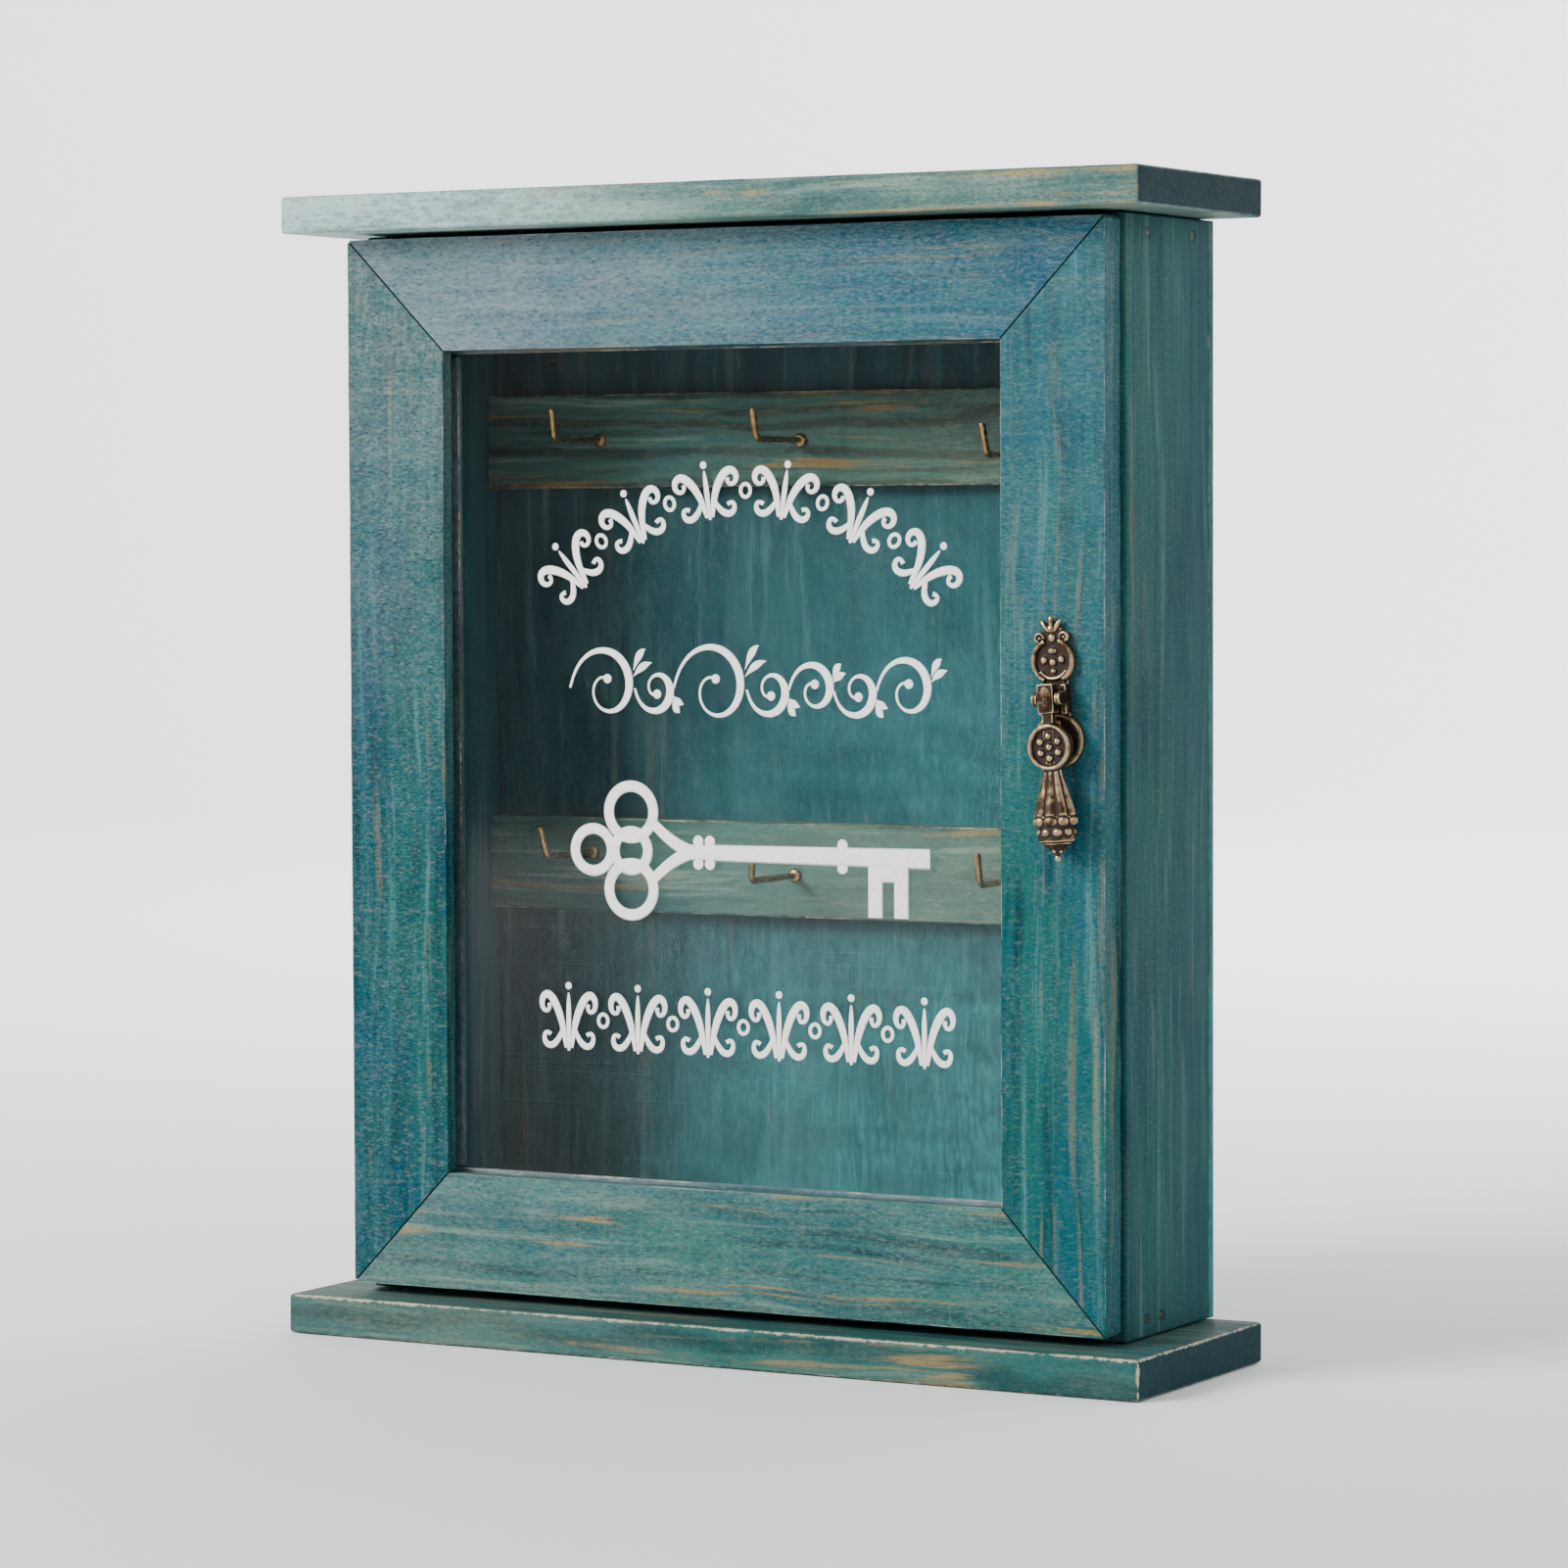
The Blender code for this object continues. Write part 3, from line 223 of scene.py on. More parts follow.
@cache
def stain_group() -> bpy.types.NodeTree:
    """Stain over rough-sawn softwood, its grain along X.

    Returns:
        The node group.
    """
    graph, given, out = new_group("stained_grain", {
        "Vector": "vector", "Wear": "value", "Base": "colour", "Deep": "colour", "Blue": "colour",
        "Pale": "colour", "Ochre": "colour", "Bare": "colour", "Clouds": "value", "Streaks": "value",
        "Blush": "colour", "Bloom": "value", "Speckle": "value", "Rubbed": "value", "Figure": "value",
        "Saw": "vector", "Sun": "value", "Sun Tone": "colour", "End Grain": "value", "End Tone": "colour",
    }, {"Color": "colour", "Roughness": "value", "Height": "value"})
    place = given["Vector"]
    drift = graph.vector("SUBTRACT", graph.noise(place, (9, 26, 26), 2.0, 0.5, 1), (0.5, 0.5, 0.5)).outputs[0]
    along = graph.vector("ADD", place, graph.stretch(drift, (0.0, 0.011, 0.011))).outputs[0]

    clouds = graph.band(graph.noise(place, (13, 36, 36), 3.0, 0.55), 0.4, 0.62)
    streak = graph.noise(along, (12, 300, 300), 4.0, 0.62)
    fine = graph.noise(along, (34, 1050, 1050), 3.0, 0.6)
    fibre = graph.noise(along, (150, 2600, 2600), 2.0, 0.6)
    patch = graph.noise(place, (24, 52, 52), 4.0, 0.6)
    teeth = graph.vector("MULTIPLY", place, given["Saw"]).outputs[0]
    saw = graph.noise(teeth, (1.0, 1.0, 1.0), 2.0, 0.7)
    tint = graph.noise(graph.moved(teeth, (40.0, 7.0, 23.0)), (0.62, 0.62, 0.62), 2.0, 0.6)
    rib = graph.band(graph.noise(place, (820, 11, 11), 1.0, 0.5), 0.6, 0.72)
    ring = graph.add("ShaderNodeTexWave", {
        "Vector": graph.moved(along, (0.0, 0.031, 0.043)), "Scale": 60.0, "Distortion": 1.4, "Detail": 2.0,
        "Detail Scale": 0.6}, wave_type="RINGS", rings_direction="X").outputs[1]
    late = graph.band(ring, 0.62, 0.97)

    dark = graph.product(graph.band(streak, 0.5, 0.74), given["Streaks"])
    light = graph.product(graph.band(streak, 0.47, 0.27), given["Streaks"], 0.9)
    hazy = graph.band(patch, 0.34, 0.62)
    bloom = graph.product(hazy, graph.band(fine, 0.4, 0.7, 0.35, 1.0), given["Bloom"])
    grit = graph.product(graph.band(saw, 0.5, 0.76), graph.band(patch, 0.3, 0.6, 0.3, 1.0), given["Speckle"])
    pits = graph.product(graph.band(saw, 0.48, 0.26), given["Speckle"], 0.85)
    trail = graph.noise(graph.moved(along, (0.3, 0.1, 0.7)), (8, 320, 320), 3.0, 0.55)
    broken = graph.noise(place, (36, 70, 70), 3.0, 0.6)
    rubbed = graph.product(graph.band(trail, 0.57, 0.66), graph.band(broken, 0.38, 0.58),
                           graph.band(fibre, 0.3, 0.6, 0.5, 1.0), given["Rubbed"])

    uneven = graph.product(graph.band(tint, 0.35, 0.65, 0.72, 1.3), graph.band(fine, 0.3, 0.7, 1.25, 0.75))
    colour = given["Base"]
    for mask, tone in (
            (graph.product(clouds, given["Clouds"]), "Blue"),
            (dark, "Deep"),
            (light, "Pale"),
            (graph.product(late, given["Figure"]), "Deep"),
            (graph.product(graph.band(fine, 0.55, 0.78), 0.55), "Deep"),
            (bloom, "Pale"),
            (rubbed, "Ochre"),
            (graph.product(graph.band(tint, 0.43, 0.3), given["Speckle"]), "Blue"),
            (graph.product(graph.band(tint, 0.55, 0.72), given["Speckle"], 0.8), "Blush"),
            (grit, "Pale"),
            (graph.product(rib, given["Speckle"], 0.16), "Pale"),
            # The ramp's tone: sun fading on some members, painted light and shade on others.
            (graph.math("MULTIPLY", given["Sun"], uneven, True), "Sun Tone"),
            (pits, "Deep"),
            (graph.product(given["End Grain"], graph.band(saw, 0.3, 0.7, 1.0, 0.9)), "End Tone"),
            (given["Wear"], "Bare")):
        colour = graph.mix(mask, colour, given[tone])
    graph.feed(out["Color"], colour)

    rough = graph.band(fine, 0.3, 0.7, 0.5, 0.68)
    graph.feed(out["Roughness"], graph.math("ADD", rough, graph.math("MULTIPLY", grit, 0.2), True))
    height = graph.product(fibre, 0.35)
    for sign, mark, share in (("ADD", saw, 0.5), ("ADD", rib, 0.35), ("SUBTRACT", late, 0.35),
                              ("ADD", streak, 0.5)):
        height = graph.math(sign, height, graph.product(mark, share))
    graph.feed(out["Height"], height)
    return graph.tree


@cache
def patina_group() -> bpy.types.NodeTree:
    """Tarnish of brass: spots and clouds, and dark hollows where the relief is low.

    Returns:
        The node group.
    """
    graph, given, out = new_group("brass_patina", {
        "Vector": "vector", "Relief": "value", "Bright": "colour", "Tarnish": "colour", "Body": "colour",
        "Hollow": "colour", "Spotting": "value",
    }, {"Color": "colour", "Roughness": "value", "Metallic": "value", "Height": "value"})
    clouds = graph.noise(given["Vector"], (420, 420, 420), 4.0, 0.6)
    spots = graph.noise(given["Vector"], (1900, 1900, 1900), 2.0, 0.6)
    tarnish = graph.product(graph.band(clouds, 0.4, 0.64), given["Spotting"])
    speck = graph.product(graph.band(spots, 0.6, 0.72), given["Spotting"])
    relief = graph.math("ADD", given["Relief"], graph.band(clouds, 0.3, 0.7, -0.07, 0.07))
    high, level = graph.band(relief, 0.52, 0.72), graph.band(relief, 0.40, 0.55)
    colour = graph.mix(tarnish, given["Bright"], given["Tarnish"])
    colour = graph.mix(speck, colour, given["Tarnish"])
    colour = graph.mix(level, given["Hollow"], graph.mix(high, given["Body"], colour))
    graph.feed(out["Color"], colour)
    rough = graph.math("ADD", graph.band(clouds, 0.3, 0.7, 0.2, 0.36), graph.product(tarnish, 0.12))
    graph.feed(out["Roughness"], graph.math("ADD", rough, graph.band(high, 0.0, 1.0, 0.22, 0.0)))
    graph.feed(out["Metallic"], graph.band(level, 0.0, 1.0, 0.4, 1.0))
    graph.feed(out["Height"], graph.math("ADD", clouds, graph.product(spots, 0.4)))
    return graph.tree


def new_material(name: str) -> tuple[bpy.types.Material, Graph, bpy.types.Node]:
    """A material with its graph and its Principled shader."""
    material = bpy.data.materials.new(name)
    material.use_nodes = True
    return material, Graph(material.node_tree), material.node_tree.nodes["Principled BSDF"]


# ---------------------------------------------------------------- finishes

class Grain(Enum):
    """The axis that a member's grain runs along, as the turn that brings it to X."""

    ACROSS = (0.0, 0.0, 0.0)
    DEPTH = (0.0, 0.0, -math.pi / 2)
    UPRIGHT = (0.0, math.pi / 2, 0.0)

    @property
    def axis(self) -> int:
        """0, 1 or 2 for X, Y or Z."""
        return {"ACROSS": 0, "DEPTH": 1, "UPRIGHT": 2}[self.name]


UPRIGHT_SAW = (1900.0, 760.0, 760.0)    # saw marks run across an upright member


@dataclass(frozen=True)
class Stain:
    """A teal stain as one member took it."""

    base: Colour = (0.014, 0.095, 0.092)
    deep: Colour = (0.002, 0.028, 0.036)
    blue: Colour = (0.006, 0.068, 0.100)
    pale: Colour = (0.10, 0.195, 0.185)
    blush: Colour = (0.10, 0.115, 0.12)
    ochre: Colour = (0.24, 0.17, 0.07)
    bare: Colour = (0.42, 0.37, 0.28)
    # The tone that the member ramps towards: sun fading on some members, painted light and shade on others.
    sun: Colour = (0.26, 0.29, 0.28)
    end: Colour = (0.010, 0.040, 0.050)
    clouds: float = 0.75
    streaks: float = 0.6
    bloom: float = 0.25
    speckle: float = 0.5
    rubbed: float = 0.8
    figure: float = 0.3
    reach: float = 0.35         # how far wear runs in from an arris, in millimetres
    broken: float = 1.0         # 0 for wear all along, 1 for wear in patches
    favour: Point = (0.0, 0.0, 0.0)
    fade_and_light_way: Point = (0.0, 0.0, 0.0)     # which way the colour ramps to the faded and painted-light tone, and how much in a metre
    fade_and_light_level: float = 0.0
    saw: Point = (620.0, 1700.0, 1700.0)
    joined: bool = False        # its ends meet its neighbours

    def inputs(self) -> dict[str, Any]:
        """The stain group's own inputs."""
        return {"Base": self.base, "Deep": self.deep, "Blue": self.blue, "Pale": self.pale,
                "Ochre": self.ochre, "Bare": self.bare, "Clouds": self.clouds, "Streaks": self.streaks,
                "Bloom": self.bloom, "Speckle": self.speckle, "Rubbed": self.rubbed, "Figure": self.figure,
                "Blush": self.blush, "Saw": self.saw, "Sun Tone": self.sun, "End Tone": self.end}


@dataclass(frozen=True)
class EndCut:
    """A plane that ends a member: a point on it and the way it faces."""

    point: Vector
    normal: Vector


def finish_with(graph: Graph, shader: bpy.types.Node, coat: bpy.types.Node, sockets: Sequence[str],
                strength: float, depth: float) -> None:
    """Link a finish's node group to its shader.

    Args:
        graph: the material's graph.
        shader: its Principled shader.
        coat: the node that holds the group.
        sockets: the shader's inputs to link, besides the normal.
        strength: of the bump.
        depth: of the bump, in metres.
    """
    for socket in sockets:
        graph.feed(shader.inputs[socket], coat.outputs["Color" if socket == "Base Color" else socket])
    bump = graph.add("ShaderNodeBump", {"Strength": strength, "Distance": depth,
                                        "Height": coat.outputs["Height"]})
    graph.feed(shader.inputs["Normal"], bump.outputs[0])


def wood_material(name: str, stain: Stain, grain: Grain, low: Vector, high: Vector,
                  cuts: Sequence[EndCut]) -> bpy.types.Material:
    """The finish of one wooden member.

    Args:
        name: the member's name, which also settles where its grain starts.
        stain: how the member took the stain.
        grain: the way its grain runs.
        low: its lowest corner.
        high: its highest corner.
        cuts: its two ends.

    Returns:
        The material.
    """
    material, graph, shader = new_material(f"stain_{name}")
    place = graph.add("ShaderNodeTexCoord").outputs["Object"]
    offset = Vector((sum(map(ord, name)) % 17, len(name) * 0.37, sum(map(ord, name)) % 5)) * 0.31
    turned = graph.add("ShaderNodeMapping", {"Vector": place, "Location": offset, "Rotation": grain.value})
    half = (high - low) / 2
    half[grain.axis] = FAR
    arris = graph.add("ShaderNodeGroup", node_tree=arris_group())
    for label, value in {"Vector": place, "Centre": (low + high) / 2, "Half": half, "End A": cuts[0].point,
                         "Normal A": cuts[0].normal, "End B": cuts[1].point, "Normal B": cuts[1].normal,
                         "Favour": stain.favour, "Reach": stain.reach * MM, "Broken": stain.broken,
                         "Joined": float(stain.joined), "Fade And Light Way": stain.fade_and_light_way,
                         "Fade And Light Level": stain.fade_and_light_level}.items():
        graph.feed(arris.inputs[label], value)
    stained = graph.add("ShaderNodeGroup", node_tree=stain_group())
    for label, value in {**stain.inputs(), "Vector": turned.outputs[0],
                         **{mask: arris.outputs[mask] for mask in ("Wear", "End Grain", "Sun")}}.items():
        graph.feed(stained.inputs[label], value)
    finish_with(graph, shader, stained, ("Base Color", "Roughness"), 0.55, 0.12 * MM)
    shader.inputs["Specular IOR Level"].default_value = WOOD_SHEEN
    return material


@dataclass(frozen=True)
class Brass:
    """A brass finish, bright or tarnished."""

    name: str
    bright: Colour
    tarnish: Colour
    body: Colour
    hollow: Colour
    spotting: float
    reads_relief: bool = False

    @cache
    def material(self) -> bpy.types.Material:
        """The finish as a material, made once."""
        material, graph, shader = new_material(self.name)
        place = graph.add("ShaderNodeTexCoord").outputs["Object"]
        relief = 1.0
        if self.reads_relief:
            relief = graph.add("ShaderNodeAttribute", attribute_name="relief").outputs["Fac"]
        coat = graph.add("ShaderNodeGroup", {}, node_tree=patina_group())
        for label, value in {"Vector": place, "Relief": relief, "Bright": self.bright,
                             "Tarnish": self.tarnish, "Body": self.body, "Hollow": self.hollow,
                             "Spotting": self.spotting}.items():
            graph.feed(coat.inputs[label], value)
        finish_with(graph, shader, coat, ("Base Color", "Roughness", "Metallic"), 0.25, 0.05 * MM)
        return material


BLACK = (0.02, 0.012, 0.009)
HOOK_BRASS = Brass("drawn_brass", (0.36, 0.225, 0.085), (0.15, 0.085, 0.03), BLACK, BLACK, 0.7)
CAST_BRASS = Brass("cast_brass", (0.56, 0.42, 0.25), (0.30, 0.19, 0.10), (0.042, 0.023, 0.013),
                   (0.006, 0.003, 0.003), 0.5, True)
HINGE_BRASS = Brass("hinge_brass", (0.30, 0.21, 0.10), (0.13, 0.08, 0.04), BLACK, BLACK, 0.9)
ZINC = Brass("zinc_plate", (0.50, 0.50, 0.49), (0.28, 0.28, 0.28), BLACK, BLACK, 0.7)
NAIL_IRON = Brass("nail_iron", (0.012, 0.010, 0.009), (0.006, 0.004, 0.004), (0.004, 0.003, 0.003),
                  (0.002, 0.002, 0.002), 0.9)


def door_glass() -> bpy.types.Material:
    """Clear glass, faintly wiped, that lets lamps through to what is behind it."""
    material, graph, shader = new_material("door_glass")
    place = graph.add("ShaderNodeTexCoord").outputs["Object"]
    swept = graph.noise(place, (90, 90, 1400), 2.0, 0.6)
    graph.feed(shader.inputs["Roughness"], graph.band(swept, 0.70, 0.8, 0.0, 0.06))
    shader.inputs["Base Color"].default_value = (0.955, 0.982, 0.975, 1.0)
    shader.inputs["Transmission Weight"].default_value = 1.0
    shader.inputs["IOR"].default_value = GLASS_IOR
    clear = graph.add("ShaderNodeBsdfTransparent", {0: (0.94, 0.97, 0.96)})
    rays = graph.add("ShaderNodeLightPath")
    both = graph.add("ShaderNodeMixShader", {0: rays.outputs["Is Shadow Ray"], 1: shader.outputs[0],
                                             2: clear.outputs[0]})
    graph.feed(material.node_tree.nodes["Material Output"].inputs["Surface"], both.outputs[0])
    return material


def print_white() -> bpy.types.Material:
    """Slightly warm and slightly uneven white ink."""
    material, graph, shader = new_material("print_white")
    place = graph.add("ShaderNodeTexCoord").outputs["Object"]
    thin = graph.noise(place, (900, 900, 900), 3.0, 0.6)
    ink = graph.mix(graph.band(thin, 0.5, 0.75), (0.9, 0.885, 0.85), (0.72, 0.72, 0.69))
    graph.feed(shader.inputs["Base Color"], ink)
    graph.feed(shader.inputs["Roughness"], graph.band(thin, 0.3, 0.7, 0.42, 0.6))
    return material


# ---------------------------------------------------------------- shared shop work

def hold(name: str, data: bpy.types.ID) -> bpy.types.Object:
    """A new object in the scene."""
    obj = bpy.data.objects.new(name, data)
    bpy.context.scene.collection.objects.link(obj)
    return obj


def scratch(name: str, bm: Mesh) -> bpy.types.Object:
    """An object that takes over a bmesh."""
    mesh = bpy.data.meshes.new(name)
    bm.to_mesh(mesh)
    bm.free()
    return hold(name, mesh)


def stand(name: str, bm: Mesh, material: bpy.types.Material) -> bpy.types.Object:
    """A smooth object that takes over a bmesh, with its finish."""
    obj = scratch(name, bm)
    obj.data.polygons.foreach_set("use_smooth", [True] * len(obj.data.polygons))
    obj.data.materials.append(material)
    return obj


def discard(obj: bpy.types.Object) -> None:
    """Take an object and its data away."""
    data = obj.data
    store = bpy.data.curves if isinstance(data, bpy.types.Curve) else bpy.data.meshes
    bpy.data.objects.remove(obj, do_unlink=True)
    store.remove(data)


def put(name: str, bm: Mesh, material: bpy.types.Material, body: str,
        replaced: Sequence[str] = ()) -> bpy.types.Object:
    """Turn a finished bmesh into a piece of the object.

    Args:
        name: the piece's name.
        bm: its mesh, in place, which is freed.
        material: its finish.
        body: the body it rides on.
        replaced: CAD nodes that it stands for.

    Returns:
        The piece.
    """
    piece = stand(name, bm, material)
    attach(piece, body)
    if replaced:
        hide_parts(*replaced)
    LOG.info("%s: %d faces on %s", name, len(piece.data.polygons), body)
    return piece


def dress(material: bpy.types.Material, *nodes: str) -> None:
    """Give CAD nodes that stay as they are a better finish."""
    for name in nodes:
        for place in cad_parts[name].material_slots:
            place.material = material
        LOG.info("%s: dressed in %s", name, material.name)


def sharp_edges(bm: Mesh, angle: float = 30.0) -> list[bmesh.types.BMEdge]:
    """Edges where two faces meet at more than an angle in degrees."""
    return [e for e in bm.edges if e.is_manifold and e.calc_face_angle() > math.radians(angle)]


def ease(bm: Mesh, width: float, segments: int = 3, angle: float = 30.0) -> None:
    """Round the sharp edges of a mesh."""
    bmesh.ops.bevel(bm, geom=sharp_edges(bm, angle), offset=width, offset_type="OFFSET", segments=segments,
                    profile=0.5, affect="EDGES", clamp_overlap=True, material=-1)


def baked(obj: bpy.types.Object) -> Mesh:
    """Apply an object's modifiers and take it away.

    Args:
        obj: a scratch object, mesh or curve.

    Returns:
        Its final mesh.
    """
    bpy.context.view_layer.update()
    shown = obj.evaluated_get(bpy.context.evaluated_depsgraph_get())
    mesh = bpy.data.meshes.new_from_object(shown)
    bm = bmesh.new()
    bm.from_mesh(mesh)
    bpy.data.meshes.remove(mesh)
    discard(obj)
    return bm


def carve(bm: Mesh, cutter: Mesh) -> Mesh:
    """Cut one closed mesh out of another."""
    work, tool = scratch("work", bm), scratch("tool", cutter)
    cut = work.modifiers.new("cut", "BOOLEAN")
    cut.object, cut.operation, cut.solver = tool, "DIFFERENCE", "EXACT"
    result = baked(work)
    discard(tool)
    return result


def box_into(bm: Mesh, low: Vector, high: Vector) -> None:
    """Add a box to a mesh."""
    shape = Matrix.Translation((low + high) / 2) @ Matrix.Diagonal((*(high - low), 1.0))
    bmesh.ops.create_cube(bm, size=1.0, matrix=shape)


def turned(bm: Mesh, outline: Sequence[Flat], steps: int, matrix: Matrix = Matrix()) -> None:
    """Turn an outline about Z.

    Args:
        bm: the mesh to add to.
        outline: (radius, height) pairs in millimetres; the first and last lie on the axis.
        steps: how many steps make the full turn.
        matrix: where the turned shape goes.
    """
    own = bmesh.new()
    spun(own, [(radius * MM, height * MM) for radius, height in outline], steps)
    merge_in(bm, own, matrix)


def spun(bm: Mesh, outline: Sequence[Flat], steps: int, weld: float = WELD) -> None:
    """Turn an outline in metres about Z, into an empty mesh."""
    chain = [bm.verts.new((radius, 0.0, height)) for radius, height in outline]
    edges = [bm.edges.new(pair) for pair in zip(chain, chain[1:])]
    bmesh.ops.spin(bm, geom=chain + edges, cent=(0, 0, 0), axis=(0, 0, 1), angle=math.tau, steps=steps,
                   use_merge=True)
    bmesh.ops.remove_doubles(bm, verts=bm.verts, dist=weld)
    bmesh.ops.recalc_face_normals(bm, faces=bm.faces)


def merge_in(bm: Mesh, own: Mesh, matrix: Matrix = Matrix()) -> None:
    """Move one mesh into another through a matrix."""
    bmesh.ops.transform(own, matrix=matrix, verts=own.verts)
    mesh = bpy.data.meshes.new("merge")
    own.to_mesh(mesh)
    own.free()
    bm.from_mesh(mesh)
    bpy.data.meshes.remove(mesh)


def ball(bm: Mesh, centre: Vector, radii: Vector, turn: float = 0.0) -> None:
    """Add an ellipsoid, turned about Y by an angle in degrees."""
    lean = Matrix.Rotation(math.radians(turn), 4, "Y")
    shape = Matrix.Translation(centre) @ lean @ Matrix.Diagonal((*radii, 1.0))
    bmesh.ops.create_uvsphere(bm, u_segments=20, v_segments=12, radius=1.0, matrix=shape)


def push(bm: Mesh, faces: list[bmesh.types.BMFace], step: Vector) -> list[bmesh.types.BMFace]:
    """Extrude a cap and return the new one."""
    grown = bmesh.ops.extrude_face_region(bm, geom=faces)["geom"]
    verts = [item for item in grown if isinstance(item, bmesh.types.BMVert)]
    bmesh.ops.translate(bm, vec=step, verts=verts)
    return [item for item in grown if isinstance(item, bmesh.types.BMFace)]


def arc_bar(bm: Mesh, centre: Vector, radius: float, tube: Flat, start: float, end: float,
            steps: int) -> None:
    """Add a curved bar round Y.

    Args:
        bm: the mesh to add to.
        centre: middle of the curve, in metres.
        radius: from the middle to the bar, in millimetres.
        tube: half width and half depth of the bar, in millimetres.
        start: first angle in degrees from +X towards +Z.
        end: last angle.
        steps: how many steps make the curve.
    """
    own = bmesh.new()
    made = bmesh.ops.create_circle(own, segments=14, radius=1.0, cap_ends=False)
    bmesh.ops.scale(own, vec=(tube[0] * MM, tube[1] * MM, 1.0), verts=made["verts"])
    bmesh.ops.translate(own, vec=(radius * MM, 0, 0), verts=own.verts)
    swing = Matrix.Rotation(-math.radians(start), 3, "Y")
    bmesh.ops.rotate(own, cent=(0, 0, 0), matrix=swing, verts=own.verts)
    whole = end - start >= 360.0
    bmesh.ops.spin(own, geom=own.verts[:] + own.edges[:], cent=(0, 0, 0), axis=(0, -1, 0),
                   angle=math.radians(end - start), steps=steps, use_merge=whole)
    bmesh.ops.remove_doubles(own, verts=own.verts, dist=WELD)
    if not whole:
        bmesh.ops.holes_fill(own, edges=own.edges)
    bmesh.ops.recalc_face_normals(own, faces=own.faces)
    merge_in(bm, own, Matrix.Translation(centre))


def fuse(bm: Mesh, voxel: float) -> Mesh:
    """Make overlapping closed solids one casting, with a voxel for its finest detail."""
    work = scratch("casting", bm)
    skin = work.modifiers.new("skin", "REMESH")
    skin.mode, skin.voxel_size = "VOXEL", voxel
    even = work.modifiers.new("even", "SMOOTH")
    even.factor, even.iterations = 0.5, 2
    return baked(work)


def mark_relief(piece: bpy.types.Object, passes: int = 14, depth: float = 0.10 * MM) -> None:
    """Store how far each point stands above or below its surroundings, 0.5 being level.

    Args:
        piece: a piece with an even, dense mesh.
        passes: how wide the surroundings are.
        depth: the height difference that counts as all the way up or down.
    """
    mesh = piece.data
    count = len(mesh.vertices)
    place, normal = np.zeros(count * 3), np.zeros(count * 3)
    edges = np.zeros(len(mesh.edges) * 2, np.int64)
    mesh.vertices.foreach_get("co", place)
    mesh.vertices.foreach_get("normal", normal)
    mesh.edges.foreach_get("vertices", edges)
    place, normal, edges = place.reshape(-1, 3), normal.reshape(-1, 3), edges.reshape(-1, 2)
    links = np.bincount(edges.ravel(), minlength=count).reshape(-1, 1).astype(float)
    level = place.copy()
    for _ in range(passes):
        total = np.zeros_like(level)
        np.add.at(total, edges[:, 0], level[edges[:, 1]])
        np.add.at(total, edges[:, 1], level[edges[:, 0]])
        level = 0.5 * level + 0.5 * total / np.maximum(links, 1.0)
    height = ((place - level) * normal).sum(1)
    relief = mesh.attributes.new("relief", "FLOAT", "POINT")
    relief.data.foreach_set("value", np.clip(0.5 + height / (2 * depth), 0.0, 1.0).astype(np.float32))


# ---------------------------------------------------------------- timber

